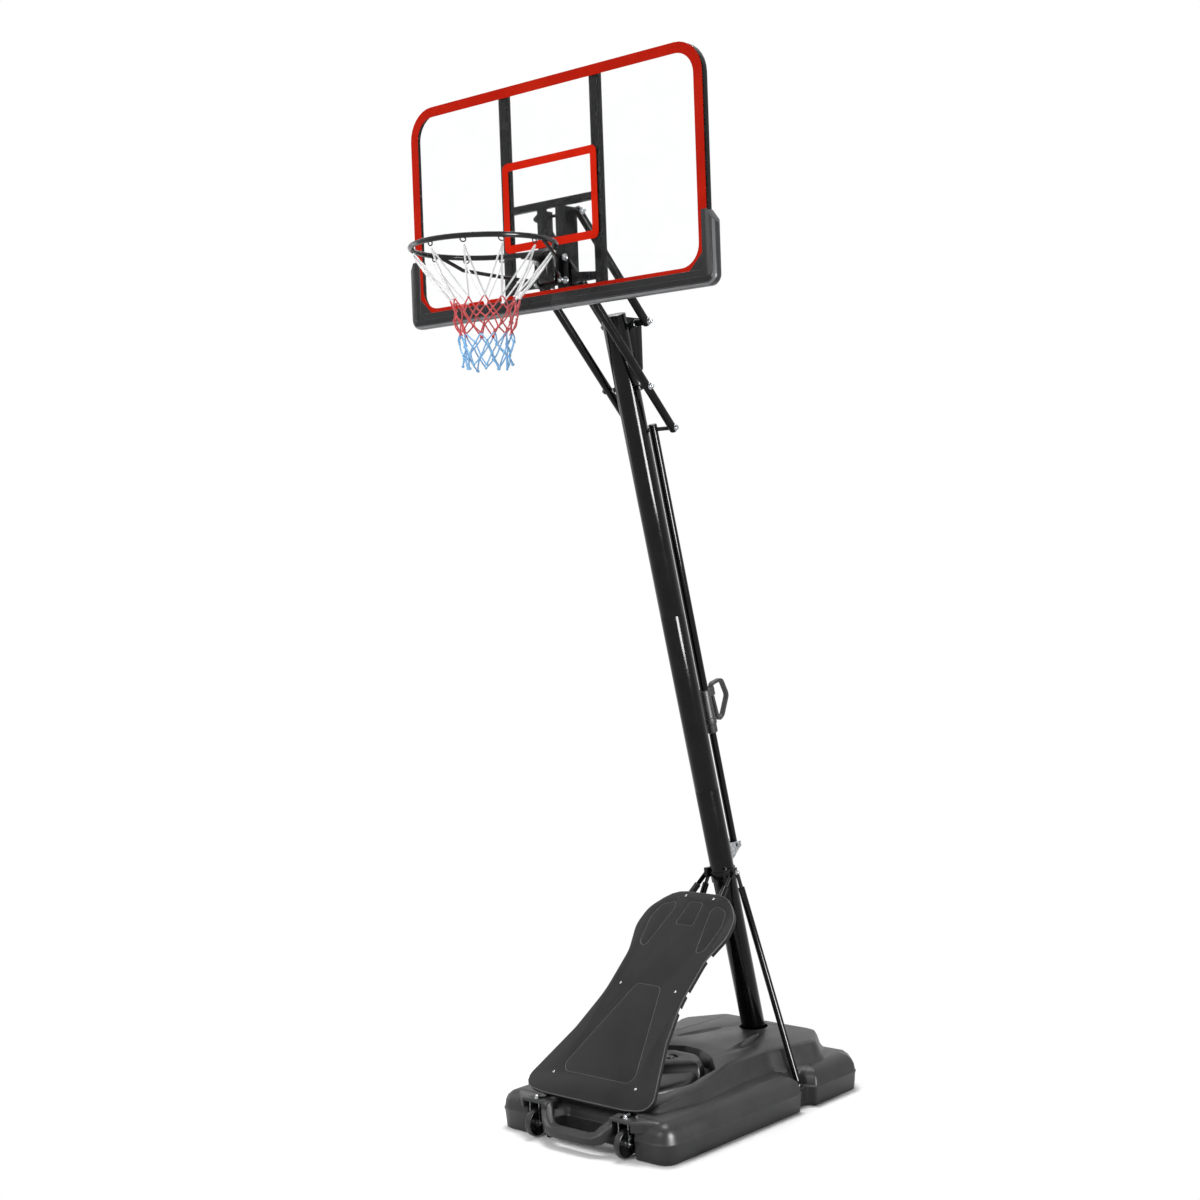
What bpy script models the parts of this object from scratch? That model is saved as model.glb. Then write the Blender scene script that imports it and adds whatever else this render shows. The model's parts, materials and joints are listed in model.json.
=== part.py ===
"""Portable basketball hoop: weighted base, leaning pole, four-arm lift, clear board and sprung rim.

Metres, +Z up.  The hoop faces -Y, +X is the viewer's right, and the origin lies on the floor
under the middle of the whole object.  The lift is drawn at its highest setting.
"""
import math

import bmesh
import bpy
from mathutils import Matrix, Vector

# ---------------------------------------------------------------- driving sizes
GAP = 0.0003                      # clearance between neighbouring pieces

# pole: three tubes that lean forward, plugged into one another
POLE_R = 0.0445
POLE_WALL = 0.002
POLE_TILT = math.radians(14.14)   # from upright
POLE_NECK = 0.080                 # length of each tube's narrowed top
POLE_TOP_Z = 2.868
POLE_JOINTS_Z = (1.802, 1.145)
POLE_FOOT_Z = 0.036
HOLE_R = POLE_R + 0.010           # well in the base

# lift: two pairs of equal arms, a parallelogram in side view
ARM_X = 0.090                     # centre plane of each arm
ARM_R = 0.0150
ARM_LEN = 0.481                   # pivot to pivot
ARM_TAIL = 0.195                  # lower arms run on behind the pole
ARM_ANGLE = math.radians(46.7)    # above level, highest setting
ARM_END = 0.017                   # arm material beyond a pivot
LOWER_PIVOT = Vector((0, 0.080, 2.615))
UPPER_PIVOT = Vector((0, 0.085, 2.843))
ARM_FRONT = LOWER_PIVOT + ARM_LEN * Vector((0, -math.cos(ARM_ANGLE), math.sin(ARM_ANGLE)))
AXLE_R = 0.0055

# height strut: inner tube on the pole, outer tube on the arms' tails
STRUT_FOOT = Vector((0, 0.605, 0.915))
INNER_R = 0.0135
OUTER_R = 0.0160
INNER_LEN = 0.920
GRIP_START = 0.452                # along the strut from its foot
GRIP_LEN = 0.168
GRIP_R = 0.0215
NOTCHES = 9
NOTCH_PITCH = 0.020

# base
BASE_HALF = 0.395
BASE_FRONT = -0.310
BASE_REAR = 0.8635
BASE_TOP = 0.136
LEDGE_Z = 0.075                   # step in each waist notch, where a rear brace stands
NOTCH_Y = 0.4925
DECK_TOP = 0.206
SEAM_Z = 0.071                    # moulding seam that runs round the tank
CAP_Y = 0.186
CAP_R = 0.026
CAP_SEAT = 0.1915                 # height of the face the fill plug sits on

# wheels
WHEEL_X = 0.206
WHEEL_Y = -0.3075
WHEEL_R = 0.050
WHEEL_W = 0.026
HUB_Z = 0.0525
PIN_R = 0.0045
BAY_TOP = 0.1255
BAY_HALF = 0.0415                 # half width of each wheel bay
BROW_FRONT = -0.328               # front edge of the roof over each wheel
BAR_Y = -0.352                    # middle of the carrying bar
BAR_TOP = 0.074

# front panel, drawn flat along its own slope
PANEL_ANGLE = math.atan(0.8716)
PANEL_ROOT = Vector((0, -0.2273, 0.2140))
PANEL_T = 0.010
PANEL_RIM = 0.018

# floor braces
BRACE_R = 0.0125
COLLAR_Z = 0.815

# board
BOARD_REACH = 0.0411              # sheet's front face ahead of the arms' front pivots
BOARD_DROP = 0.0651               # sheet's lower edge below those pivots
BOARD_HEIGHT = 0.754
BOARD_FACE = ARM_FRONT.y - BOARD_REACH
BOARD_HALF = 0.675
BOARD_BOTTOM = ARM_FRONT.z - BOARD_DROP
BOARD_TOP = BOARD_BOTTOM + BOARD_HEIGHT
CORNER = 0.110
SHEET_T = 0.004
BAND_T = 0.0010
BAND_W = 0.036
FRAME = 0.022                     # square tube
RAIL_X = 0.211
RAIL_W = 0.040
CROSS_Z = ARM_FRONT.z + 0.2624
CROSS_H = 0.026
HANGER_X = 0.065                  # outer face of the board's hanging channels
TARGET_HALF = 0.2185
TARGET_DROP = 0.262
TARGET_HEIGHT = 0.310
TARGET_TOP = BOARD_TOP - TARGET_DROP
TARGET_BOTTOM = TARGET_TOP - TARGET_HEIGHT
TARGET_W = 0.028
LIP = 0.023                       # how far the edge guard covers the band
GUARD_OUT = 0.030                 # how far it stands out beyond the board
GUARD_HEIGHT = 0.211
GUARD_TOP = BOARD_BOTTOM + GUARD_HEIGHT
WEB = 0.060                       # filled inner corner of the edge guard

# rim
RING_BORE = 0.457
RING_BAR = 0.018
RIM_REACH = 0.326                 # ring's middle ahead of the sheet
RIM_RISE = 0.150                  # ring's middle above the sheet's lower edge
RIM_Y = BOARD_FACE - RIM_REACH
RIM_Z = BOARD_BOTTOM + RIM_RISE
SHELF_HALF = 0.0505               # shelf that carries the ring
COVER_R = 0.040
NET_LOOPS = 12

SINK = "portable_basketball_hoop"
COLOURS = {
    "base_plastic": ((0.030, 0.030, 0.031), 0.55, 0.0),
    "panel_plastic": ((0.042, 0.042, 0.043), 0.60, 0.0),
    "black_powder_coat": ((0.012, 0.012, 0.013), 0.28, 0.0),
    "arm_powder_coat": ((0.022, 0.022, 0.024), 0.42, 0.0),
    "guard_plastic": ((0.110, 0.110, 0.112), 0.50, 0.0),
    "clear_sheet": ((0.92, 0.94, 0.95), 0.05, 0.0),
    "red_band": ((0.56, 0.015, 0.004), 0.40, 0.0),
    "zinc_plate": ((0.60, 0.60, 0.60), 0.35, 0.9),
    "wheel_plastic": ((0.018, 0.018, 0.018), 0.50, 0.0),
    "net_cord": ((0.75, 0.75, 0.76), 0.85, 0.0),
    "rim_enamel": ((0.010, 0.010, 0.010), 0.30, 0.0),
    "trigger_plastic": ((0.050, 0.050, 0.052), 0.50, 0.0),
}

for old in list(bpy.data.objects):
    bpy.data.objects.remove(old, do_unlink=True)
parts = bpy.data.collections.new(SINK)
cutters = bpy.data.collections.new("cutters")
bpy.context.scene.collection.children.link(parts)
bpy.context.scene.collection.children.link(cutters)


# ---------------------------------------------------------------- small helpers
def material(key):
    found = bpy.data.materials.get(key)
    if found:
        return found
    colour, rough, metal = COLOURS[key]
    made = bpy.data.materials.new(key)
    made.use_nodes = True
    shader = made.node_tree.nodes["Principled BSDF"]
    shader.inputs["Base Color"].default_value = (*colour, 1.0)
    shader.inputs["Roughness"].default_value = rough
    shader.inputs["Metallic"].default_value = metal
    return made


def add(name, bm, look=None, at=(0, 0, 0), turn=None, smooth=False):
    """Turn a bmesh into an object; without a look it only shapes other objects."""
    bmesh.ops.recalc_face_normals(bm, faces=bm.faces)
    if bm.calc_volume(signed=True) < 0:
        bmesh.ops.reverse_faces(bm, faces=bm.faces)
    mesh = bpy.data.meshes.new(name)
    bm.to_mesh(mesh)
    bm.free()
    for face in mesh.polygons:
        face.use_smooth = smooth
    obj = bpy.data.objects.new(name, mesh)
    obj.location = at
    if turn is not None:
        obj.rotation_euler = turn.to_euler()
    if look:
        mesh.materials.append(material(look))
        parts.objects.link(obj)
    else:
        obj.hide_render = True
        obj.display_type = "WIRE"
        cutters.objects.link(obj)
    return obj


def modify(obj, kind, **settings):
    made = obj.modifiers.new(kind.title(), kind)
    for key, value in settings.items():
        setattr(made, key, value)
    return made


def bevel(obj, width, segments=2, angle=40):
    modify(obj, "BEVEL", width=width, segments=segments, limit_method="ANGLE",
           angle_limit=math.radians(angle))
    return obj


def combine(obj, other, operation):
    modify(obj, "BOOLEAN", object=other, operation=operation, solver="EXACT")
    return obj


def cut(obj, *others):
    for other in others:
        combine(obj, other, "DIFFERENCE")
    return obj


def fuse(obj, *others):
    for other in others:
        combine(obj, other, "UNION")
    return obj


def along(direction):
    """Rotation that carries +Z onto a direction, with +X kept level."""
    z = Vector(direction).normalized()
    x = Vector((1, 0, 0)) if abs(z.x) < 0.9 else Vector((0, 1, 0))
    y = z.cross(x).normalized()
    x = y.cross(z)
    return Matrix((x, y, z)).transposed()


def turned(name, profile, look, start, end, steps=24):
    """Profile of (radius, distance) pairs, spun about the line from start towards end."""
    bm = bmesh.new()
    verts = [bm.verts.new((r, 0, h)) for r, h in profile]
    for a, b in zip(verts, verts[1:]):
        bm.edges.new((a, b))
    if profile[0][0] > 1e-6:
        bm.edges.new((verts[-1], verts[0]))
    obj = add(name, bm, look, start, along(Vector(end) - Vector(start)), True)
    modify(obj, "SCREW", steps=steps, render_steps=steps, angle=2 * math.pi, axis="Z",
           use_merge_vertices=True, merge_threshold=0.00001,
           use_smooth_shade=True)
    return obj


def rod(name, start, end, radius, look=None, steps=20, chamfer=0.0):
    """Round bar between two points."""
    start = Vector(start)
    length = (Vector(end) - start).length
    c = chamfer
    profile = [(0, length), (radius - c, length), (radius, length - c)]
    profile += [(radius, c), (radius - c, 0), (0, 0)]
    if not c:
        profile = [(0, length), (radius, length), (radius, 0), (0, 0)]
    return turned(name, profile, look, start, end, steps)


def pipe(name, start, end, outer, inner, look, steps=32):
    length = (Vector(end) - Vector(start)).length
    profile = [(outer, length), (outer, 0), (inner, 0), (inner, length)]
    return turned(name, profile, look, start, end, steps)


def box(name, low, high, look=None):
    bm = bmesh.new()
    size = Vector(high) - Vector(low)
    bmesh.ops.create_cube(bm, size=1.0, matrix=Matrix.Diagonal((*size, 1.0)))
    return add(name, bm, look, (Vector(low) + Vector(high)) / 2)


def slab(name, outline, across, low, high, look=None):
    """Flat plate: outline pairs lie in the plane across X (y, z) or across Y (x, z)."""
    bm = bmesh.new()
    rows = []
    for at in (low, high):
        spots = [(at, a, z) if across == "X" else (a, at, z) for a, z in outline]
        rows.append([bm.verts.new(spot) for spot in spots])
    for i in range(len(outline)):
        j = (i + 1) % len(outline)
        bm.faces.new((rows[0][i], rows[0][j], rows[1][j], rows[1][i]))
    bm.faces.new(rows[0])
    bm.faces.new(list(reversed(rows[1])))
    return add(name, bm, look)


def mirrored(points):
    """Close a half outline (x > 0, listed from front to rear) across x = 0."""
    return points + [(-x, y, *rest) for x, y, *rest in reversed(points)]


def rounded(points, inset=0.0, steps=4, closed=True):
    """Outline of (x, y, radius) corners, walked anticlockwise, moved inwards by an inset."""
    count = len(points)
    result = []
    for i, (px, py, radius) in enumerate(points):
        corner = Vector((px, py))
        before = Vector(points[i - 1][:2])
        after = Vector(points[(i + 1) % count][:2])
        if not closed and i in (0, count - 1):
            way = (after - corner) if i == 0 else (corner - before)
            way.normalize()
            result.append(corner + Vector((-way.y, way.x)) * inset)
            continue
        d1 = (corner - before).normalized()
        d2 = (after - corner).normalized()
        turn = math.atan2(d1.x * d2.y - d1.y * d2.x, d1.dot(d2))
        side = 1 if turn > 0 else -1
        n1 = Vector((-d1.y, d1.x))
        n2 = Vector((-d2.y, d2.x))
        moved = corner + (n1 + n2) * (inset / (1 + n1.dot(n2)))
        arc = max(radius - side * inset, 0.0008)
        begin = moved - d1 * arc * abs(math.tan(turn / 2))
        centre = begin + n1 * arc * side
        for k in range(steps + 1):
            swing = Matrix.Rotation(turn * k / steps, 2)
            result.append(centre + swing @ (begin - centre))
    return result


def loft(name, rings, look=None, at=(0, 0, 0), turn=None, ring_closed=True, cyclic=False,
         smooth=False):
    """Skin a stack of equal rings; cyclic joins the last ring to the first."""
    bm = bmesh.new()
    rows = [[bm.verts.new(p) for p in ring] for ring in rings]
    size = len(rows[0])
    spans = size if ring_closed else size - 1
    pairs = list(zip(rows, rows[1:]))
    if cyclic:
        pairs.append((rows[-1], rows[0]))
    for low, high in pairs:
        for i in range(spans):
            j = (i + 1) % size
            bm.faces.new((low[i], low[j], high[j], high[i]))
    if not cyclic:
        bm.faces.new(list(reversed(rows[0])))
        bm.faces.new(rows[-1])
    elif not ring_closed:
        bm.faces.new([row[0] for row in rows])
        bm.faces.new([row[-1] for row in reversed(rows)])
    return add(name, bm, look, at, turn, smooth)


def tray(name, points, levels, look=None, steps=3, at=(0, 0, 0), turn=None, smooth=False):
    """Upright body whose outline is inset level by level: levels are (height, inset)."""
    rings = [[(p.x, p.y, z) for p in rounded(points, inset, steps)] for z, inset in levels]
    return loft(name, rings, look, at, turn, smooth=smooth)


def border(name, corners, section, look, steps=6, closed=True):
    """Section of (outward, y) pairs carried round an outline that stands in the XZ plane."""
    rings = []
    for out, y in section:
        ring = rounded(corners, -out, steps, closed)
        rings.append([(p.x, y, p.y) for p in ring])
    return loft(name, rings, look, ring_closed=closed, cyclic=True)


def bent_rod(name, points, radius, resolution=2):
    """Rod that follows straight legs, made from a bevelled curve and closed at both ends."""
    curve = bpy.data.curves.new(name, "CURVE")
    curve.dimensions = "3D"
    curve.bevel_depth = radius
    curve.bevel_resolution = resolution
    curve.use_fill_caps = True
    spline = curve.splines.new("POLY")
    spline.points.add(len(points) - 1)
    for target, point in zip(spline.points, points):
        target.co = (*point, 1.0)
    guide = bpy.data.objects.new(name + "_guide", curve)
    cutters.objects.link(guide)
    bpy.context.view_layer.update()
    depsgraph = bpy.context.evaluated_depsgraph_get()
    mesh = bpy.data.meshes.new_from_object(guide.evaluated_get(depsgraph))
    bm = bmesh.new()
    bm.from_mesh(mesh)
    bpy.data.objects.remove(guide, do_unlink=True)
    bmesh.ops.remove_doubles(bm, verts=bm.verts, dist=0.00001)
    return bm


def pole_point(z, behind=0.0):
    """Point on the pole's axis at a height, or straight behind it."""
    reach = (LOWER_PIVOT.z - z) * math.tan(POLE_TILT)
    return Vector((0, LOWER_PIVOT.y + reach + behind, z))


def arm_point(pivot, distance, x=0.0):
    """Point along an arm: forward and up from its pivot is positive."""
    return Vector((x, pivot.y - distance * math.cos(ARM_ANGLE),
                   pivot.z + distance * math.sin(ARM_ANGLE)))


def sides():
    return (("left", -1), ("right", 1))


# ---------------------------------------------------------------- base tank
def tank_outline(notch):
    half = [
        (0.125, -0.235, 0.020), (0.152, BASE_FRONT, 0.020), (BASE_HALF, BASE_FRONT, 0.055),
        (BASE_HALF, NOTCH_Y - 0.044, 0.014), (notch, NOTCH_Y - 0.030, 0.012),
        (notch, NOTCH_Y + 0.030, 0.012), (BASE_HALF, NOTCH_Y + 0.044, 0.014),
        (BASE_HALF, BASE_REAR - 0.070, 0.040), (BASE_HALF - 0.070, BASE_REAR, 0.050),
    ]
    return mirrored(half)


def tank_shell():
    low, high = 0.362, 0.322
    levels = [
        (0.000, 0.016, low), (0.005, 0.009, low), (SEAM_Z - 0.005, 0.003, low),
        (SEAM_Z, 0.0, low), (SEAM_Z + 0.0035, 0.003, low), (LEDGE_Z + 0.001, 0.0035, high),
        (0.097, 0.007, high), (0.115, 0.016, high), (0.129, 0.034, high), (BASE_TOP, 0.060, high),
    ]
    rings = []
    for z, inset, notch in levels:
        rings.append([(p.x, p.y, z) for p in rounded(tank_outline(notch), inset, 3)])
    return loft("base", rings, "base_plastic")


def deck():
    """Raised middle of the tank; it falls away towards the front."""
    half = [(0.255, -0.215, 0.050), (0.285, 0.000, 0.20), (0.252, 0.240, 0.20),
            (0.252, 0.430, 0.12), (0.325, 0.650, 0.060), (0.215, 0.800, 0.060)]
    levels = [(0.112, -0.034), (0.134, -0.026), (0.154, -0.010), (0.186, 0.000), (0.200, 0.008),
              (DECK_TOP, 0.024)]
    rings = []
    for z, inset in levels:
        ring = []
        for p in rounded(mirrored(half), inset, 3):
            fall = min(1.0, 0.45 + 0.55 * (p.y + 0.20) / 0.44)
            ring.append((p.x, p.y, 0.112 + (z - 0.112) * fall))
        rings.append(ring)
    return loft("deck_form", rings)


def recess():
    half = [(0.198, -0.125, 0.060), (0.246, 0.020, 0.080), (0.228, 0.185, 0.022),
            (0.122, 0.288, 0.050), (0.040, 0.326, 0.060)]
    return tray("recess_form", mirrored(half), [(0.146, 0.030), (0.152, 0.022), (0.260, -0.010)])


def mound(name, half, levels, slope):
    """Rounded swelling whose height falls away towards the front by a slope."""
    rings = []
    for z, inset in levels:
        ring = [(p.x, p.y, z + slope * (p.y - 0.19) * (z - 0.12) / 0.08)
                for p in rounded(mirrored(half), inset, 3)]
        rings.append(ring)
    return loft(name, rings)


def island():
    """Domed rear swelling round the filler; its front edge is a wide V."""
    half = [(0.020, 0.083, 0.030), (0.147, 0.176, 0.012), (0.128, 0.222, 0.060),
            (0.062, 0.286, 0.070)]
    levels = [(0.120, -0.008), (0.176, 0.001), (0.190, 0.008), (0.198, 0.020), (0.202, 0.042)]
    return mound("island_form", half, levels, 0.04)


def front_swell():
    """Front swelling, parted from the rear one by a V-shaped groove."""
    half = [(0.118, -0.098, 0.050), (0.198, 0.050, 0.060), (0.147, 0.164, 0.014),
            (0.020, 0.071, 0.030)]
    levels = [(0.120, -0.006), (0.166, 0.001), (0.180, 0.007), (0.187, 0.018), (0.190, 0.036)]
    return mound("swell_form", half, levels, 0.13)


def deck_flutes():
    """Two shallow troughs that splay forward from the pole well."""
    forms = []
    for side, s in sides():
        bm = bmesh.new()
        bmesh.ops.create_uvsphere(bm, u_segments=12, v_segments=6, radius=1.0)
        bmesh.ops.scale(bm, vec=(0.024, 0.120, 0.016), verts=bm.verts)
        turn = Matrix.Rotation(s * math.radians(19), 3, "Z")
        forms.append(add("flute_" + side, bm, None, (s * 0.118, 0.510, DECK_TOP + 0.004), turn))
    return forms


def brow():
    """Flat roof over each wheel bay, a little proud of the tank's front."""
    forms = []
    for side, s in sides():
        half = [(0.140, -0.262, 0.004), (0.148, BROW_FRONT + 0.004, 0.006),
                (0.254, BROW_FRONT, 0.010), (0.296, BASE_FRONT + 0.012, 0.006),
                (0.330, -0.262, 0.004)]
        outline = half if s > 0 else [(-x, y, r) for x, y, r in reversed(half)]
        levels = [(0.100, 0.002), (0.128, 0.0), (0.133, 0.002), (BASE_TOP, 0.006)]
        forms.append(tray("brow_" + side, outline, levels))
    return forms


def grab_bar():
    """Scooped carrying bar: it drops from the brows and bows out between the wheels."""
    section = [(-0.020, 0.0), (0.008, 0.0), (0.018, 0.007), (0.021, 0.66), (0.017, 0.80),
               (0.006, 0.82), (0.001, 1.0), (-0.014, 1.0), (-0.020, 0.90)]
    stations = [(0.168, BAR_Y + 0.084, 0.134, 0.090, 25), (0.150, BAR_Y + 0.042, 0.126, 0.066, 38),
                (0.122, BAR_Y + 0.016, 0.098, 0.040, 46), (0.099, BAR_Y + 0.005, 0.078, 0.034, 26),
                (0.070, BAR_Y, BAR_TOP, 0.033, 6)]
    rings = []
    for x, y, top, low, way in stations + [(-x, y, t, b, -w) for x, y, t, b, w in stations[::-1]]:
        ring = []
        for out, up in section:
            swing = math.radians(way)
            height = low + (up if up < 0.05 else up * (top - low))
            ring.append((x + out * math.sin(swing), y - out * math.cos(swing), height))
        rings.append(ring)
    return loft("bar_form", rings)


def build_base():
    base = tank_shell()
    fuse(base, deck(), grab_bar(), *brow())
    cut(base, recess())
    fuse(base, island(), front_swell())
    cut(base, *deck_flutes())
    axis = (pole_point(1.0) - pole_point(0.0)).normalized()
    floor = pole_point(POLE_FOOT_Z) - axis * GAP
    cut(base, rod("well", floor, floor + axis * 0.30, HOLE_R, steps=32))
    neck = CAP_R * 0.70 + GAP
    seat = [(0, 0.080), (CAP_R + 0.004, 0.080), (CAP_R + 0.004, CAP_SEAT - 0.150),
            (neck, CAP_SEAT - 0.150), (neck, 0), (0, 0)]
    cut(base, turned("filler_seat", seat, None, (0, CAP_Y, 0.150), (0, CAP_Y, 1), 20))
    for side, s in sides():
        x = s * WHEEL_X
        cut(base, box("bay_" + side, (x - BAY_HALF, -0.420, -0.010),
                      (x + BAY_HALF, WHEEL_Y + WHEEL_R + 0.014, BAY_TOP)))
    return base


def build_filler_cap():
    lip = CAP_SEAT + GAP
    profile = [(0, lip + 0.011), (CAP_R * 0.55, lip + 0.011), (CAP_R * 0.60, lip + 0.007),
               (CAP_R - 0.002, lip + 0.006), (CAP_R, lip + 0.004), (CAP_R, lip),
               (CAP_R * 0.70, lip), (CAP_R * 0.66, 0.162), (0, 0.162)]
    profile = [(r, h - lip) for r, h in profile]
    return turned("filler_cap", profile, "base_plastic", (0, CAP_Y, lip), (0, CAP_Y, 1), 20)


# ---------------------------------------------------------------- wheels
def build_wheels():
    half = WHEEL_W / 2
    bore = PIN_R + GAP
    tyre = [(WHEEL_R - 0.005, half), (WHEEL_R, half - 0.006), (WHEEL_R, -half + 0.006),
            (WHEEL_R - 0.005, -half), (WHEEL_R - 0.011, -half + 0.004), (0.012, -half + 0.004),
            (0.010, -half), (bore, -half), (bore, half), (0.010, half), (0.012, half - 0.004),
            (WHEEL_R - 0.011, half - 0.004)]
    for side, s in sides():
        hub = Vector((s * WHEEL_X, WHEEL_Y, HUB_Z))
        turned("wheel_" + side, tyre, "wheel_plastic", hub, hub + Vector((1, 0, 0)), 24)
        fork(side, hub)


def fork(side, hub):
    """Folded steel strap over the wheel, with the axle pin through it."""
    clear = WHEEL_W / 2 + 0.0075
    wall = 0.0025
    top = BAY_TOP - GAP
    x, y, z = hub
    obj = box("wheel_fork_" + side, (x - clear - wall, y - 0.011, top - wall),
              (x + clear + wall, y + 0.011, top), "zinc_plate")
    for k in (-1, 1):
        inner = x + k * clear
        outer = x + k * (clear + wall)
        leg = box("leg_%s_%d" % (side, k), (min(inner, outer), y - 0.008, z - 0.009),
                  (max(inner, outer), y + 0.008, top - wall * 0.5))
        fuse(obj, leg)
        shoulder = rod("spacer_%s_%d" % (side, k), hub + Vector((k * (WHEEL_W / 2 + 0.001), 0, 0)),
                       hub + Vector((k * (clear + wall / 2), 0, 0)), 0.0075, steps=10)
        fuse(obj, shoulder)
    reach = Vector((clear + wall + 0.005, 0, 0))
    fuse(obj, rod("pin_" + side, hub - reach, hub + reach, PIN_R, steps=12))


# ---------------------------------------------------------------- front panel
def panel_outline():
    half = [(0.190, -0.086, 0.030), (0.286, -0.072, 0.045), (0.286, -0.020, 0.060),
            (0.212, 0.190, 0.200), (0.178, 0.360, 0.400), (0.180, 0.545, 0.150),
            (0.216, 0.660, 0.120), (0.205, 0.745, 0.100), (0.125, 0.838, 0.120)]
    return mirrored(half)


def groove(name, points):
    """Fine round groove that follows a closed outline on the panel's face."""
    rows = []
    for depth, inset in ((-0.0016, 0.0), (0.0010, -0.0022), (0.0010, 0.0022)):
        rows.append([(p.x, p.y, depth) for p in rounded(points, inset, 3)])
    return loft(name, rows, None, PANEL_ROOT, Matrix.Rotation(PANEL_ANGLE, 3, "X"), cyclic=True)


def flange_notches():
    """Gaps in the panel's turned side edges, listed by distance up the slope."""
    forms = []
    for low, high in ((0.322, 0.347), (0.395, 0.416), (0.548, 0.578)):
        for side, s in sides():
            bm = bmesh.new()
            size = (0.080, high - low, PANEL_RIM)
            bmesh.ops.create_cube(bm, size=1.0, matrix=Matrix.Diagonal((*size, 1.0)))
            spot = slope_point(s * 0.202, (low + high) / 2, 0.0045 + PANEL_RIM / 2)
            forms.append(add("notch_%s_%d" % (side, round(low * 1000)), bm, None, spot,
                             Matrix.Rotation(PANEL_ANGLE, 3, "X")))
    return forms


def build_panel():
    turn = Matrix.Rotation(PANEL_ANGLE, 3, "X")
    levels = [(-PANEL_RIM, 0.0015), (-0.003, 0.0), (-0.001, 0.0010), (0.0, 0.0035)]
    panel = tray("front_panel", panel_outline(), levels, "panel_plastic", 3, PANEL_ROOT, turn)
    hollow = tray("panel_hollow", panel_outline(), [(-0.030, 0.004), (-PANEL_T, 0.004)], None, 3,
                  PANEL_ROOT, turn)
    cut(panel, hollow, *flange_notches())
    wide = mirrored([(0.140, 0.014, 0.020), (0.164, 0.040, 0.030), (0.056, 0.412, 0.025)])
    small = mirrored([(0.041, 0.686, 0.010), (0.031, 0.793, 0.012)])
    cut(panel, groove("groove_wide", wide), groove("groove_small", small))
    for side, s in sides():
        leaf = [(0.120, 0.562, 0.014), (0.152, 0.590, 0.020), (0.168, 0.700, 0.060),
                (0.150, 0.765, 0.030), (0.095, 0.788, 0.014), (0.083, 0.755, 0.030)]
        if s < 0:
            leaf = [(-x, y, r) for x, y, r in reversed(leaf)]
        cut(panel, groove("groove_leaf_" + side, leaf))
    return cut(panel, *brace_channels())


# ---------------------------------------------------------------- floor braces
def slope_point(x, along_slope, depth):
    """Point a depth behind the front panel's face, at a distance up its slope."""
    c, d = math.cos(PANEL_ANGLE), math.sin(PANEL_ANGLE)
    return PANEL_ROOT + Vector((x, along_slope * c + depth * d, along_slope * d - depth * c))


def brace(name, low, top, tab, reach):
    """Round tube with a flattened upper end; tab is its length beyond the tube."""
    way = (top - low).normalized()
    end = top - way * tab
    obj = rod(name, low, end, BRACE_R, "black_powder_coat", 16, 0.002)
    bm = bmesh.new()
    bmesh.ops.create_cube(bm, size=1.0, matrix=Matrix.Diagonal((0.003, 0.020, tab + reach, 1.0)))
    middle = end + way * (tab - reach) / 2
    return fuse(obj, add(name + "_tab", bm, None, middle, along(way)))


def front_brace_line(s):
    depth = PANEL_T + BRACE_R + 0.0008
    return slope_point(s * 0.1960, -0.050, depth), slope_point(s * 0.0580, 0.940, depth)


def build_braces():
    for side, s in sides():
        low, top = front_brace_line(s)
        front = brace("brace_front_" + side, low, top, 0.050, 0.012)
        foot = BASE_TOP + GAP
        fuse(front, box("front_tab_" + side, (low.x - 0.012, -0.306, foot),
                        (low.x + 0.012, low.y + 0.008, foot + 0.003)))
        fuse(front, box("front_neck_" + side, (low.x - 0.009, low.y - 0.006, foot + 0.001),
                        (low.x + 0.009, low.y + 0.008, low.z + 0.004)))
        low = Vector((s * 0.3420, NOTCH_Y, LEDGE_Z + 0.018))
        top = Vector((s * 0.0640, 0.534, 0.824))
        rear = brace("brace_rear_" + side, low, top, 0.055, 0.012)
        foot = LEDGE_Z + 0.001 + GAP
        fuse(rear, box("rear_tab_" + side, (low.x - 0.013, low.y - 0.013, foot),
                       (low.x + 0.013, low.y + 0.013, foot + 0.003)))
        fuse(rear, box("rear_neck_" + side, (low.x - 0.008, low.y - 0.008, foot + 0.001),
                       (low.x + 0.008, low.y + 0.008, low.z + 0.006)))


def brace_channels():
    """Clearances where the front braces pass under the panel's turned edge."""
    forms = []
    for side, s in sides():
        low, top = front_brace_line(s)
        way = (top - low).normalized()
        forms.append(rod("channel_" + side, low - way * 0.10, top + way * 0.05,
                         BRACE_R + 0.0008, steps=16))
    return forms


def build_collar():
    """Split ring round the lower tube, with an ear on each side for the brace tops."""
    axis = (pole_point(1.0) - pole_point(0.0)).normalized()
    middle = pole_point(COLLAR_Z)
    low = middle - axis * 0.022
    high = middle + axis * 0.022
    collar = pipe("brace_collar", low, high, POLE_R + 0.0040, POLE_R + GAP, "black_powder_coat")
    for side, s in sides():
        xs = sorted((s * 0.038, s * 0.0530))
        ear = box("ear_" + side, (xs[0], middle.y - 0.050, middle.z - 0.010),
                  (xs[1], middle.y + 0.016, middle.z + 0.026))
        fuse(collar, ear)
    return cut(collar, rod("collar_bore", low - axis * 0.05, high + axis * 0.05, POLE_R + GAP,
                           steps=32))


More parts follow.
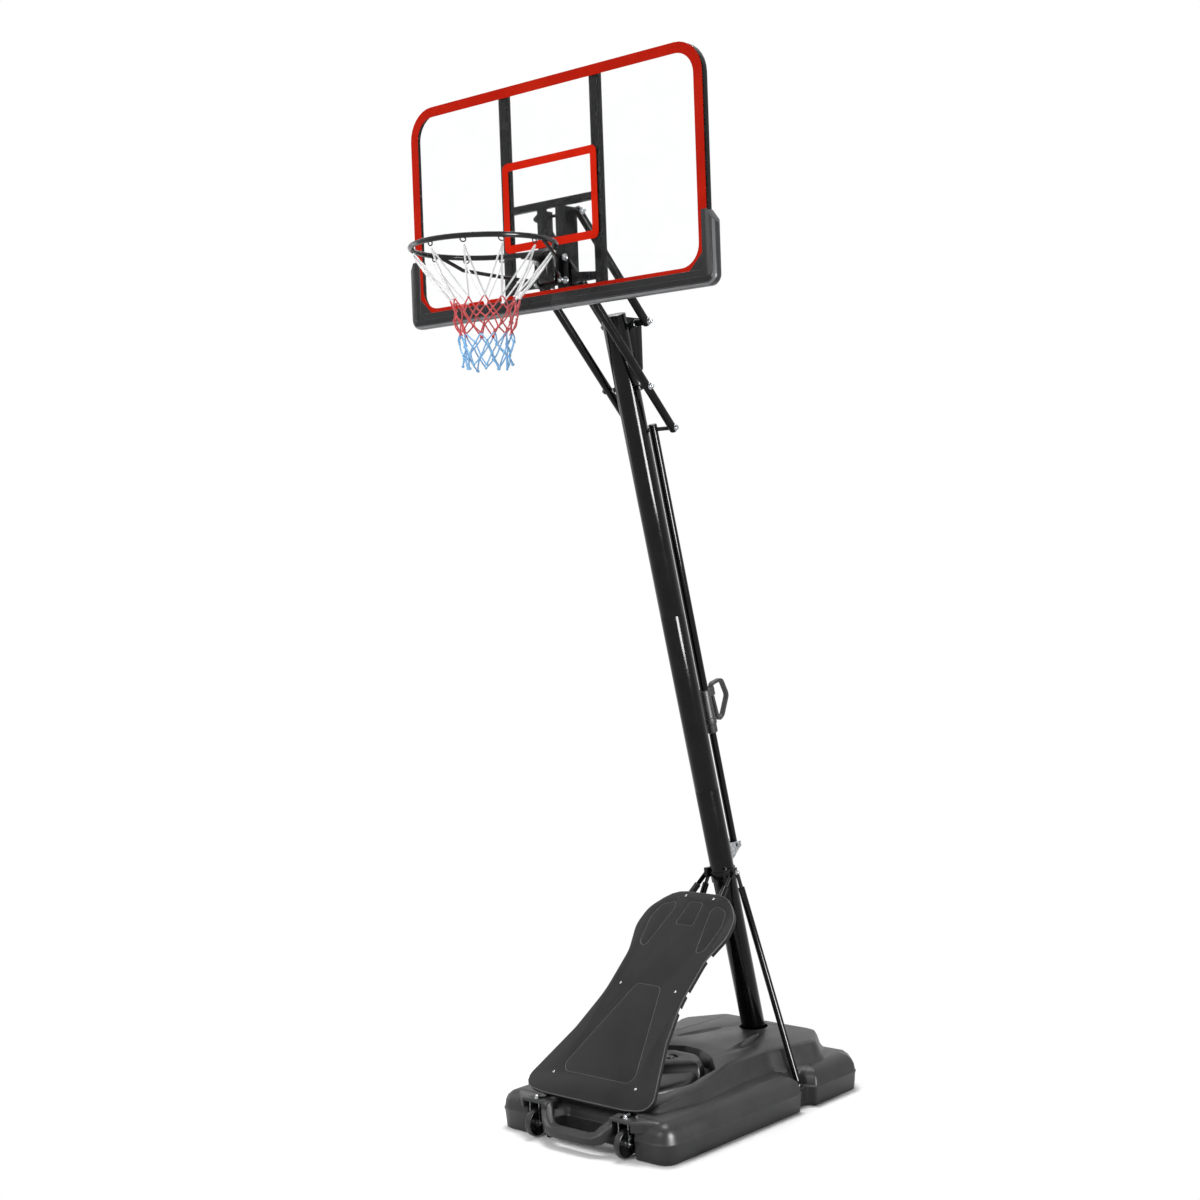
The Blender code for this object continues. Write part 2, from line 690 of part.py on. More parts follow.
# ---------------------------------------------------------------- pole
def build_pole():
    axis = (pole_point(1.0) - pole_point(0.0)).normalized()
    cuts = (POLE_TOP_Z, *POLE_JOINTS_Z, POLE_FOOT_Z)
    names = ("pole_upper", "pole_middle", "pole_lower")
    bore = POLE_R - POLE_WALL
    neck = bore - GAP
    tubes = []
    for i, name in enumerate(names):
        start = pole_point(cuts[i + 1])
        length = (pole_point(cuts[i]) - start).length
        if i:
            length -= GAP
        profile = [(POLE_R, length), (POLE_R, 0), (bore, 0), (bore, length)]
        if i:
            inner = neck - POLE_WALL
            profile = [(neck, length + POLE_NECK), (neck, length), (POLE_R, length), (POLE_R, 0),
                       (bore, 0), (bore, length - 0.010), (inner, length),
                       (inner, length + POLE_NECK)]
        tubes.append(turned(name, profile, "black_powder_coat", start, start + axis, 32))
    drill = rod("axle_drill", LOWER_PIVOT + Vector((-0.07, 0, 0)),
                LOWER_PIVOT + Vector((0.07, 0, 0)), AXLE_R + GAP, steps=12)
    cut(tubes[0], drill)
    top = pole_point(POLE_TOP_Z) + axis * GAP
    cap = [(0, 0.006), (POLE_R - 0.006, 0.005), (POLE_R, 0.0025), (POLE_R, 0),
           (bore - GAP, 0), (bore - GAP, -0.016), (0, -0.016)]
    turned("pole_cap", cap, "trigger_plastic", top, top + axis, 28)


def build_pole_head():
    """Tapered channel behind the pole top that carries the upper arms' axle."""
    half = 0.0355
    wall = 0.003
    rear = 0.123
    top = 2.862
    low = 2.655
    cheeks = []
    outline = [(pole_point(top).y + 0.010, top), (rear - 0.006, top), (rear, top - 0.006),
               (rear, low + 0.030), (pole_point(low).y + 0.035, low)]
    for side, s in sides():
        cheeks.append(slab("cheek_" + side, outline, "X", s * half, s * (half + wall)))
    head = box("pole_head", (-half - 0.001, rear - 0.0245, low + 0.034),
               (half + 0.001, rear - 0.0215, 2.818), "black_powder_coat")
    fuse(head, *cheeks)
    axis = (pole_point(1.0) - pole_point(0.0)).normalized()
    cut(head, rod("head_pole", pole_point(2.5), pole_point(2.5) + axis * 0.5, POLE_R + GAP,
                  steps=32))
    reach = Vector((0.06, 0, 0))
    cut(head, rod("head_drill", UPPER_PIVOT - reach, UPPER_PIVOT + reach, AXLE_R + GAP, steps=12))
    return head


def axle(name, centre, spacer_from, spacer_r):
    """Through bolt with a domed head, two spacer sleeves and a lock nut."""
    end = ARM_X + ARM_R + GAP
    inner = ARM_X - ARM_R - GAP
    a, r = spacer_from, AXLE_R
    profile = [(0, end + 0.0070), (0.0075, end + 0.0055), (0.0105, end),
               (r, end), (r, inner), (spacer_r, inner), (spacer_r, a), (r, a)]
    profile += [(r, -a), (spacer_r, -a), (spacer_r, -inner), (r, -inner), (r, -end),
                (0.0095, -end), (0.0095, -end - 0.007), (0, -end - 0.008)]
    return turned(name, profile, "black_powder_coat", centre, centre + Vector((1, 0, 0)), 10)


# ---------------------------------------------------------------- arms
def arm(name, pivot, back, stub):
    """Round tube with plugged ends, drilled for its two axles."""
    s = 1 if name.endswith("right") else -1
    x = s * ARM_X
    start = arm_point(pivot, -back - ARM_END, x)
    end = arm_point(pivot, ARM_LEN + ARM_END, x)
    length = (end - start).length
    r = ARM_R
    profile = [(0, length), (r * 0.62, length - 0.0015), (r * 0.93, length - 0.0060),
               (r, length - 0.0100), (r, 0.0100), (r * 0.93, 0.0060), (r * 0.62, 0.0015), (0, 0)]
    obj = turned(name, profile, "arm_powder_coat", start, end, 20)
    for k, d in enumerate((0.0, ARM_LEN)):
        hole = arm_point(pivot, d, x)
        reach = Vector((0.03, 0, 0))
        drill = rod("%s_drill_%d" % (name, k), hole - reach, hole + reach, AXLE_R + GAP, steps=12)
        cut(obj, drill)
    if stub:
        tail = arm_point(pivot, -ARM_TAIL, x)
        near = arm_point(pivot, -ARM_TAIL, s * (OUTER_R + 0.0006))
        fuse(obj, rod(name + "_stub", near, tail, 0.0075, steps=12))
    return obj


def build_arms():
    for side, s in sides():
        arm("lower_arm_" + side, LOWER_PIVOT, ARM_TAIL, True)
        arm("upper_arm_" + side, UPPER_PIVOT, 0.0, False)
    axle("pole_axle_lower", LOWER_PIVOT, POLE_R + 0.0006, 0.0080)
    axle("pole_axle_upper", UPPER_PIVOT, 0.0395, 0.0125)
    for which, pivot in (("lower", LOWER_PIVOT), ("upper", UPPER_PIVOT)):
        axle("board_axle_" + which, arm_point(pivot, ARM_LEN), HANGER_X + GAP, 0.0100)


# ---------------------------------------------------------------- height strut
def strut_axis():
    top = arm_point(LOWER_PIVOT, -ARM_TAIL)
    return (top - STRUT_FOOT).normalized(), (top - STRUT_FOOT).length


def build_strut():
    axis, length = strut_axis()
    behind = Vector((0, axis.z, -axis.y))
    start = STRUT_FOOT - axis * 0.012
    inner = rod("strut_inner", start, start + axis * INNER_LEN, INNER_R, "black_powder_coat", 20,
                0.0015)
    for i in range(NOTCHES):
        mark = STRUT_FOOT + axis * (GRIP_START - 0.200 + NOTCH_PITCH * i) + behind * INNER_R
        bm = bmesh.new()
        size = Matrix.Diagonal((0.016, 0.0080, 0.0075, 1.0))
        bmesh.ops.create_cube(bm, size=1.0, matrix=size)
        cut(inner, add("notch_%02d" % i, bm, None, mark, along(axis)))
    reach = Vector((0.03, 0, 0))
    cut(inner, rod("foot_drill", STRUT_FOOT - reach, STRUT_FOOT + reach, 0.0045 + GAP, steps=12))
    full = length + 0.020
    hollow = INNER_R + GAP
    blind = 1.02
    outer = [(0, full), (OUTER_R - 0.003, full), (OUTER_R, full - 0.002), (OUTER_R, GRIP_START),
             (hollow, GRIP_START), (hollow, blind), (0, blind)]
    turned("strut_outer", outer, "black_powder_coat", STRUT_FOOT, STRUT_FOOT + axis, 24)


def build_grip():
    """Moulded clamp on the outer tube and the looped lever that frees it."""
    axis = strut_axis()[0]
    base = GRIP_START - 0.002
    bore = OUTER_R + GAP
    g = GRIP_R
    profile = [(g - 0.003, base + GRIP_LEN), (g, base + GRIP_LEN - 0.003), (g, base + 0.060),
               (g + 0.003, base + 0.057), (g + 0.003, base + 0.036), (g, base + 0.033),
               (g, base + 0.003), (g - 0.003, base), (bore, base), (bore, base + GRIP_LEN)]
    clamp = turned("grip_clamp", profile, "trigger_plastic", STRUT_FOOT, STRUT_FOOT + axis, 20)
    pivot = lever_pivot()
    for side, s in sides():
        x = s * 0.0125
        bm = bmesh.new()
        bmesh.ops.create_cube(bm, size=1.0, matrix=Matrix.Diagonal((0.005, 0.034, 0.030, 1.0)))
        behind = Vector((0, axis.z, -axis.y))
        spot = pivot - behind * 0.010 - axis * 0.004 + Vector((x, 0, 0))
        fuse(clamp, add("lug_" + side, bm, None, spot, along(axis)))
    cut(clamp, rod("clamp_bore", STRUT_FOOT + axis * (base - 0.05),
                   STRUT_FOOT + axis * (base + GRIP_LEN + 0.05), bore, steps=24))
    fuse(clamp, rod("lever_pin", pivot - Vector((0.0145, 0, 0)), pivot + Vector((0.0145, 0, 0)),
                    0.003, steps=10))
    return build_lever(axis, pivot)


def lever_pivot():
    axis = strut_axis()[0]
    behind = Vector((0, axis.z, -axis.y))
    return STRUT_FOOT + axis * (GRIP_START + GRIP_LEN - 0.014) + behind * 0.0345


def build_lever(axis, pivot):
    """Open D loop in side view; it hangs from the pin beside the clamp."""
    corners = [(0.000, 0.000, 0.010), (0.010, -0.124, 0.011), (0.040, -0.112, 0.022),
               (0.088, -0.048, 0.024), (0.070, 0.020, 0.018), (0.012, 0.020, 0.014)]
    half = 0.0085
    section = [(0.0055, -half), (0.0055, half), (-0.0055, half), (-0.0055, -half)]
    rings = []
    for out, x in section:
        rings.append([(x, p.x, p.y) for p in rounded(corners, -out, 3)])
    lever = loft("height_trigger", rings, "trigger_plastic", pivot, along(axis), cyclic=True)
    bm = bmesh.new()
    bmesh.ops.create_cone(bm, segments=16, radius1=0.0085, radius2=0.0085, depth=2 * half,
                          cap_ends=True, matrix=Matrix.Rotation(math.pi / 2, 4, "Y"))
    fuse(lever, add("lever_boss", bm, None, pivot))
    cut(lever, rod("lever_drill", pivot - Vector((0.03, 0, 0)), pivot + Vector((0.03, 0, 0)),
                   0.003 + GAP, steps=10))
    return lever


def build_strut_bracket():
    """Zinc bracket on the back of the lower tube, with the strut's foot bolt."""
    inner = INNER_R + 0.0012
    wall = 0.003
    z_top = STRUT_FOOT.z + 0.014
    back = pole_point(STRUT_FOOT.z, POLE_R / math.cos(POLE_TILT)).y
    cheeks = []
    outline = [(back - 0.006, z_top), (STRUT_FOOT.y + 0.018, z_top),
               (STRUT_FOOT.y + 0.020, z_top - 0.018), (back + 0.016, z_top - 0.066),
               (back + 0.004, z_top - 0.066)]
    for side, s in sides():
        cheeks.append(slab("bracket_cheek_" + side, outline, "X", s * inner, s * (inner + wall)))
    axis = (pole_point(1.0) - pole_point(0.0)).normalized()
    behind = Vector((0, axis.z, -axis.y))
    seat = pole_point(z_top - 0.030) + behind * (POLE_R + 0.003)
    bm = bmesh.new()
    bmesh.ops.create_cube(bm, size=1.0,
                          matrix=Matrix.Diagonal((2 * (inner + wall), 0.007, 0.070, 1.0)))
    bracket = add("strut_bracket", bm, "zinc_plate", seat, along(axis))
    fuse(bracket, *cheeks)
    cut(bracket, rod("bracket_pole", pole_point(0.7), pole_point(0.7) + axis * 0.4,
                     POLE_R + GAP, steps=32))
    reach = Vector((inner + wall + 0.006, 0, 0))
    return fuse(bracket, rod("foot_bolt", STRUT_FOOT - reach, STRUT_FOOT + reach, 0.0045,
                             steps=12))


# ---------------------------------------------------------------- board
def upright_outline(half, low, high, corner):
    return [(-half, low, corner), (half, low, corner), (half, high, corner),
            (-half, high, corner)]


def build_board():
    sheet_back = BOARD_FACE + SHEET_T
    outline = upright_outline(BOARD_HALF, BOARD_BOTTOM, BOARD_TOP, CORNER)
    rows = [[(p.x, y, p.y) for p in rounded(outline, 0, 8)] for y in (BOARD_FACE, sheet_back)]
    loft("board_sheet", rows, "clear_sheet")
    front = BOARD_FACE - GAP
    band = [(-BAND_W, front), (-BAND_W, front - BAND_T), (-0.0005, front - BAND_T),
            (-0.0005, front)]
    border("board_border", outline, band, "red_band", 8)
    target = upright_outline(TARGET_HALF, TARGET_BOTTOM, TARGET_TOP, 0.022)
    band = [(out if out > -0.01 else -TARGET_W, y) for out, y in band]
    border("target_square", target, band, "red_band", 4)
    near = sheet_back + GAP
    tube = [(-FRAME, near), (-0.0005, near), (-0.0005, near + FRAME), (-FRAME, near + FRAME)]
    border("board_frame", outline, tube, "black_powder_coat", 8)
    return near


def build_rails(near):
    low = BOARD_BOTTOM + FRAME + GAP
    high = BOARD_TOP - FRAME - GAP
    edge = RAIL_X - RAIL_W / 2
    for side, s in sides():
        x = s * RAIL_X
        rail = box("board_rail_" + side, (x - RAIL_W / 2, near, low),
                   (x + RAIL_W / 2, near + FRAME, high), "black_powder_coat")
        bevel(rail, 0.002, 1)
    span = edge - GAP
    bar = box("board_crossbar", (-span, near, CROSS_Z - CROSS_H / 2),
              (span, near + FRAME, CROSS_Z + CROSS_H / 2), "black_powder_coat")
    bevel(bar, 0.002, 1)
    low = ARM_FRONT.z - 0.016
    inner = HANGER_X + GAP
    outline = [(inner, low), (span, low), (span, low + 0.026), (inner + 0.042, low + 0.034),
               (inner, low + 0.094)]
    for side, s in sides():
        tie = slab("board_tie_" + side, [(s * x, z) for x, z in outline], "Y", near,
                   near + 0.014, "black_powder_coat")
        bevel(tie, 0.0015, 1)


def build_hangers(near):
    """Two folded steel channels that hang from the crossbar and carry the board's pivots."""
    top = CROSS_Z - CROSS_H / 2 - GAP
    low = BOARD_BOTTOM + FRAME + GAP
    rear = ARM_FRONT.y + 0.024
    turn = arm_point(UPPER_PIVOT, ARM_LEN).z
    outline = [(near + 0.001, low), (near + 0.016, low), (rear - 0.010, ARM_FRONT.z - 0.022),
               (rear, ARM_FRONT.z - 0.006), (rear, turn + 0.004), (rear - 0.010, top - 0.003),
               (near + 0.001, top - 0.003)]
    for side, s in sides():
        web = sorted((s * 0.020, s * HANGER_X))
        hanger = box("board_hanger_" + side, (web[0], near, low), (web[1], near + 0.003, top),
                     "black_powder_coat")
        fuse(hanger, slab("cheek_form_" + side, outline, "X", s * (HANGER_X - 0.003),
                          s * HANGER_X))
        lip = sorted((s * 0.020, s * 0.023))
        fuse(hanger, box("lip_form_" + side, (lip[0], near + 0.001, low + 0.020),
                         (lip[1], near + 0.030, top - 0.010)))
        for k, pivot in enumerate((LOWER_PIVOT, UPPER_PIVOT)):
            hole = arm_point(pivot, ARM_LEN)
            reach = Vector((s * 0.010, 0, 0))
            spot = hole + Vector((s * (HANGER_X - 0.0015), 0, 0))
            cut(hanger, rod("hanger_drill_%s_%d" % (side, k), spot - reach, spot + reach,
                            AXLE_R + GAP, steps=12))


def guard_section():
    """Edge guard in section: a thin lip over the band, a ridge, a chamfer and a rounded edge."""
    f = BOARD_FACE
    clear = BAND_T + 2 * GAP
    back = SHEET_T + FRAME + 0.003
    g = GUARD_OUT
    return [(-LIP, f - clear), (-LIP + 0.001, f - clear - 0.0025), (0.0, f - 0.0062),
            (0.0012, f - 0.0125), (g - 0.0115, f - 0.0085), (g - 0.0105, f - 0.0050),
            (g - 0.0085, f - 0.0056), (g - 0.0015, f + 0.0020), (g, f + 0.0080),
            (g, f + 0.0240), (g - 0.0060, f + back + 0.004), (-0.018, f + back + 0.004),
            (-0.018, f + back), (0.0006, f + back), (0.0006, f - clear)]


def build_guards():
    """Moulded edge guard in two halves that meet under the middle of the board."""
    f = BOARD_FACE
    side_x = BOARD_HALF - LIP + 0.004
    floor = BOARD_BOTTOM + LIP - 0.004
    web = [(side_x, floor), (side_x, floor + WEB), (side_x - WEB, floor)]
    for side, s in sides():
        path = [(GAP, BOARD_BOTTOM, 0), (BOARD_HALF, BOARD_BOTTOM, 0.006),
                (BOARD_HALF, GUARD_TOP, 0)]
        rings = []
        for out, y in guard_section():
            ring = [(s * p.x, y, p.y) for p in rounded(path, -out, 8, False)]
            x, y, z = ring[-1]
            ring[-1] = (x, y, z - 1.45 * max(out, 0.0))
            rings.append(ring)
        guard = loft("edge_guard_" + side, rings, "guard_plastic", ring_closed=False, cyclic=True)
        fuse(guard, slab("web_" + side, [(s * x, z) for x, z in web], "Y",
                         f - BAND_T - 2 * GAP - 0.0022, f - BAND_T - 2 * GAP))


# ---------------------------------------------------------------- rim and net
def build_rim_mount():
    """Bolted plate on the front of the board."""
    plate = box("rim_mount_plate", (-0.078, BOARD_FACE - 0.0060, ARM_FRONT.z - 0.019),
                (0.078, BOARD_FACE - GAP, ARM_FRONT.z + 0.093), "black_powder_coat")
    bevel(plate, 0.0015, 1)
    return plate


def build_rim():
    major = (RING_BORE + RING_BAR) / 2
    r = RING_BAR / 2
    profile = [(major + r * math.cos(a), r * math.sin(a))
               for a in (2 * math.pi * k / 8 for k in range(8))]
    centre = Vector((0, RIM_Y, RIM_Z))
    rim = turned("rim", profile, "rim_enamel", centre, centre + Vector((0, 0, 1)), 48)
    back = BOARD_FACE - 0.0070
    half = SHELF_HALF
    wall = 0.005
    foot = RIM_Z - 0.100
    fuse(rim, box("rim_shelf", (-half, RIM_Y + major - 0.010, RIM_Z - 0.014),
                  (half, back, RIM_Z - 0.005)))
    for side, s in sides():
        xs = sorted((s * half, s * (half - wall)))
        fuse(rim, box("rim_cheek_" + side, (xs[0], back - 0.016, foot), (xs[1], back, RIM_Z - 0.011)))
        angle = math.radians(9)
        start = centre + Vector((s * major * math.cos(angle), major * math.sin(angle), -r * 0.6))
        legs = [start, centre + Vector((s * 0.212, 0.112, -0.042)),
                centre + Vector((s * 0.135, 0.197, -0.064)),
                Vector((s * (half + 0.0012), back - 0.009, foot + 0.0145))]
        fuse(rim, add("rim_stay_" + side, bent_rod("stay_" + side, legs, 0.0065, 1)))
    return rim


def build_rim_cover():
    """Rounded spring cover that bulges from the mounting plate between the rim's cheeks."""
    back = BOARD_FACE - 0.0090
    front = back - COVER_R
    half = [(COVER_R * 0.50, front, 0.018), (COVER_R, front + 0.018, 0.012), (COVER_R, back, 0.001)]
    low = RIM_Z - 0.095
    levels = [(low, 0.009), (low + 0.002, 0.005), (low + 0.006, 0.0015), (low + 0.012, 0.0),
              (RIM_Z - 0.0160, 0.0)]
    return tray("rim_spring_cover", mirrored(half), levels, "rim_enamel", 3)


def build_net():
    """Knotted diamonds in one closed mesh, hung from twelve points under the ring."""
    levels = [(0.020, 0.2350), (0.098, 0.1760), (0.166, 0.1240), (0.222, 0.1090),
              (0.278, 0.0980), (0.336, 0.0900), (0.393, 0.0850)]
    bm = bmesh.new()
    turns = 2 * NET_LOOPS
    grid = {}
    for j, (drop, radius) in enumerate(levels):
        for i in range(j % 2, turns, 2):
            a = 2 * math.pi * i / turns
            grid[i, j] = bm.verts.new((radius * math.cos(a), radius * math.sin(a), -drop))
    for j in range(len(levels) - 2):
        for i in range(j % 2, turns, 2):
            right = (i + 1) % turns
            left = (i - 1) % turns
            bm.faces.new((grid[i, j], grid[right, j + 1], grid[i, j + 2], grid[left, j + 1]))
    net = add("net", bm, "net_cord", (0, RIM_Y, RIM_Z))
    modify(net, "WIREFRAME", thickness=0.0055, use_replace=True, use_boundary=True,
           use_even_offset=True, offset=0.0)
    return net


def build_all():
    build_base()
    build_filler_cap()
    build_wheels()
    build_panel()
    build_braces()
    build_collar()
    build_pole()
    build_pole_head()
    build_arms()
    build_strut()
    build_grip()
    build_strut_bracket()
    near = build_board()
    build_rails(near)
    build_hangers(near)
    build_guards()
    build_rim_mount()
    build_rim()
    build_rim_cover()
    build_net()


build_all()
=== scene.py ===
# %% [markdown]
# # A portable basketball hoop
#
# The hoop stands on a blow-moulded tank that is filled with water or sand.  A leaning pole
# carries four arms, the arms carry a clear board, and the board carries a sprung rim.
# The solid parts come from a CAD model and already move on their joints.  This lesson gives
# them their real surfaces and adds what is too small or too soft for CAD: bolts, washers,
# net hooks and the knotted net.

# %% Load the solid parts
import json
import math

import bmesh
import bpy
from mathutils import Matrix, Vector


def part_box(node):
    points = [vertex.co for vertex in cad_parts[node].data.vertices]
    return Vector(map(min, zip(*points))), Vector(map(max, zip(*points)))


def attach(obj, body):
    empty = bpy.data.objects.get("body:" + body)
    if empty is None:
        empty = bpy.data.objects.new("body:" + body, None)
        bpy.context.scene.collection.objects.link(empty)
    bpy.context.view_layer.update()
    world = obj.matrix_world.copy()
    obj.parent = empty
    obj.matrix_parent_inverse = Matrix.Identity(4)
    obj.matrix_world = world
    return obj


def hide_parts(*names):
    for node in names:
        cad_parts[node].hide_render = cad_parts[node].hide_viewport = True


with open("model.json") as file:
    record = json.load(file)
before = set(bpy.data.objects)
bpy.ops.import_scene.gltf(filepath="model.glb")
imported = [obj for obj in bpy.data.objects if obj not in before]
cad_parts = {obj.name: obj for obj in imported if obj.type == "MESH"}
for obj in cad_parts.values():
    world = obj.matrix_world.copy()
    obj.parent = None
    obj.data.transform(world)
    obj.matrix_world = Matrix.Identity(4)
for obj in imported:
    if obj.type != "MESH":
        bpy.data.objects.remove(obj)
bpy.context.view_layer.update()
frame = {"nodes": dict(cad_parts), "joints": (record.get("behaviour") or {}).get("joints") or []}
solids = frame["nodes"]
MM = 0.001

# %% [markdown]
# ## The camera
#
# The photograph was taken with a longish lens from a little above eye height, well to the
# right of the hoop's front.  A turn about the upright axis, a small tilt and a small roll place it.  The
# focal length is kept in pixels of a 1200 pixel wide picture, because that is how it was found.

# %% Place the camera
TURN, TILT, ROLL = (math.radians(a) for a in (41.818, 1.596, -2.033))
EYE = Vector((4.3351, -4.9524, 2.0536))
FOCAL_PIXELS, PICTURE_PIXELS = 1866.44, 1200
SENSOR_WIDTH = 36                 # mm
look = Vector((-math.sin(TURN) * math.cos(TILT), math.cos(TURN) * math.cos(TILT),
               -math.sin(TILT)))
level = Vector((math.cos(TURN), math.sin(TURN), 0))
upward = level.cross(look)
right = level * math.cos(ROLL) + upward * math.sin(ROLL)
top = upward * math.cos(ROLL) - level * math.sin(ROLL)
lens = bpy.data.cameras.new("studio_camera")
lens.sensor_width = SENSOR_WIDTH
lens.lens = FOCAL_PIXELS / PICTURE_PIXELS * SENSOR_WIDTH
lens.clip_end = 60
camera = bpy.data.objects.new("studio_camera", lens)
bpy.context.scene.collection.objects.link(camera)
facing = Matrix((right, top, -look)).transposed().to_4x4()
camera.matrix_world = Matrix.Translation(EYE) @ facing
bpy.context.scene.camera = camera
print("lens:", round(lens.lens, 2), "mm")

# %% [markdown]
# ## Building materials from nodes
#
# Every finish below is made of the same few nodes, so a few small helpers are enough.  `put`
# adds a node, sets its values and joins its inputs.  `hex_colour` turns a colour picked on
# screen (sRGB) into the linear numbers that a renderer works with, and `ramp` spreads colours
# along a value.

# %% Node and colour helpers
MIX_A, MIX_B, MIX_RESULT = 6, 7, 2    # colour inputs and colour result of a Mix node


def put(tree, kind, inputs=None, **settings):
    made = tree.nodes.new(kind)
    for key, value in settings.items():
        setattr(made, key, value)
    for key, value in (inputs or {}).items():
        if isinstance(value, bpy.types.NodeSocket):
            tree.links.new(value, made.inputs[key])
        else:
            made.inputs[key].default_value = value
    return made


def hex_colour(text):
    parts = [int(text[i:i + 2], 16) / 255 for i in (1, 3, 5)]
    return (*[c / 12.92 if c < 0.04045 else ((c + 0.055) / 1.055) ** 2.4 for c in parts], 1)


def ramp(tree, factor, stops, smooth=True):
    made = put(tree, "ShaderNodeValToRGB", {"Fac": factor})
    strip = made.color_ramp
    strip.interpolation = "EASE" if smooth else "CONSTANT"
    strip.elements[0].position, strip.elements[0].color = stops[0]
    strip.elements[1].position, strip.elements[1].color = stops[-1]
    for place, colour in stops[1:-1]:
        strip.elements.new(place).color = colour
    return made.outputs["Color"]


def grey(value):
    return (value, value, value, 1)


# %% [markdown]
# ## One recipe for painted and moulded surfaces
#
# Powder coat and moulded plastic are both nearly one colour, but never quite.  The colour
# drifts a little over patches as wide as a hand, the gloss drifts with it, and light catches a
# fine relief: orange peel on powder coat, leather grain on blow-moulded polyethylene.  The
# recipe takes the patch and grain widths in millimetres, so each finish keeps its real scale.
# Moulded pieces also carry a little pale dust, as small specks.

# %% The surface recipe
DUST = 1.5                        # mm from speck to speck


def surface(name, light, dark, patch, gloss, grain, relief, cells=False, metallic=0.0,
            specks=None, **sockets):
    """light and dark are hex colours, gloss is (lowest, highest) roughness; sizes are in mm.

    cells makes leather grain instead of orange peel, and specks is (hex colour, strength).
    """
    made = bpy.data.materials.new(name)
    made.use_nodes = True
    tree = made.node_tree
    shader = tree.nodes["Principled BSDF"]
    where = put(tree, "ShaderNodeTexCoord").outputs["Object"]
    patches = put(tree, "ShaderNodeTexNoise", {"Vector": where, "Scale": 1 / (patch * MM),
                                               "Detail": 4.0, "Roughness": 0.6})
    drift = patches.outputs["Fac"]
    colour = ramp(tree, drift, [(0.36, hex_colour(dark)), (0.64, hex_colour(light))])
    rough = put(tree, "ShaderNodeMapRange", {"Value": drift, "From Min": 0.35, "From Max": 0.65,
                                             "To Min": gloss[0], "To Max": gloss[1]})
    if specks:
        dust = put(tree, "ShaderNodeTexNoise", {"Vector": where, "Scale": 1 / (DUST * MM),
                                                "Detail": 2.0})
        amount = ramp(tree, dust.outputs["Fac"], [(0.66, grey(0)), (0.74, grey(specks[1]))])
        colour = put(tree, "ShaderNodeMix", {"Factor": amount, MIX_A: colour,
                                             MIX_B: hex_colour(specks[0])},
                     data_type="RGBA").outputs[MIX_RESULT]
    if cells:
        skin = put(tree, "ShaderNodeTexVoronoi", {"Vector": where, "Scale": 1 / (grain * MM)},
                   feature="SMOOTH_F1").outputs["Distance"]
    else:
        skin = put(tree, "ShaderNodeTexNoise", {"Vector": where, "Scale": 1 / (grain * MM),
                                                "Detail": 2.0}).outputs["Fac"]
    bump = put(tree, "ShaderNodeBump", {"Height": skin, "Strength": 1.0,
                                        "Distance": relief * MM})
    tree.links.new(colour, shader.inputs["Base Color"])
    tree.links.new(rough.outputs["Result"], shader.inputs["Roughness"])
    tree.links.new(bump.outputs["Normal"], shader.inputs["Normal"])
    shader.inputs["Metallic"].default_value = metallic
    for key, value in sockets.items():
        shader.inputs[key.replace("_", " ")].default_value = value
    return made


# %% [markdown]
# ## Powder coat
#
# Powder is sprayed on steel dry, then baked until it flows.  It flows almost flat, and what is
# left is orange peel: waves about 2 mm wide and a few hundredths of a millimetre deep.  On
# black gloss tube they show as a slight wobble in the long reflections.

# %% Steel finishes
gloss_black = surface("gloss_black_powder_coat", "#131314", "#0c0c0d", 90, (0.10, 0.16),
                      2.2, 0.012, Specular_IOR_Level=0.17)
satin_black = surface("satin_black_powder_coat", "#121213", "#0d0d0e", 70, (0.18, 0.27),
                      1.8, 0.020, Specular_IOR_Level=0.16)
rim_black = surface("rim_powder_coat", "#141415", "#0d0d0e", 60, (0.12, 0.20),
                    2.0, 0.012, Specular_IOR_Level=0.30)
print("steel finishes:", gloss_black.name, satin_black.name, rim_black.name)

# %% [markdown]
# ## Zinc plate
#
# Bolts, washers, forks and the strut's foot bracket are barrel-plated with zinc.  The plate is
# a bright, slightly blue metal with cloudy patches, so it keeps full metallic and a roughness
# that drifts more than paint does.

# %% Zinc finish
bright_zinc = surface("bright_zinc_plate", "#b6b8ba", "#85888b", 9, (0.18, 0.38), 0.8, 0.015,
                      metallic=1.0)
print("metal finish:", bright_zinc.name)

# %% [markdown]
# ## Moulded plastics
#
# The tank is blow-moulded polyethylene: matt, a little waxy and with a leather grain from the
# mould.  The front panel and the edge guard are injection-moulded polypropylene with a finer
# grain.  The wheels come from a polished mould and shine.  The grip, its trigger and the
# pole's cap are nylon.

# %% Plastic finishes
tank_plastic = surface("blow_moulded_polyethylene", "#2b2b2c", "#222223", 110, (0.36, 0.46),
                       2.2, 0.16, cells=True, specks=("#7a7a7a", 0.08), Specular_IOR_Level=0.36)
# The panel's and the guard's pale greys are painted highlight tones; the facing ramps below darken the
# rest as painted shade.
panel_plastic = surface("grained_polypropylene_panel", "#59595a", "#505051", 130, (0.38, 0.48),
                        1.1, 0.06, cells=True, specks=("#6f6f6f", 0.06), Specular_IOR_Level=0.18)
guard_plastic = surface("moulded_polypropylene_guard", "#8d8e90", "#828385", 120, (0.26, 0.36),
                        1.3, 0.05, cells=True, specks=("#8a8a8a", 0.05), Specular_IOR_Level=0.16)
wheel_plastic = surface("polished_polypropylene", "#1f1f20", "#171718", 30, (0.22, 0.36),
                        2.5, 0.02)
grip_plastic = surface("nylon_grip", "#2c2c2e", "#222223", 40, (0.38, 0.50), 0.9, 0.04,
                       cells=True)
plastics = (tank_plastic, panel_plastic, guard_plastic, wheel_plastic, grip_plastic)
print("plastics:", *[finish.name for finish in plastics])
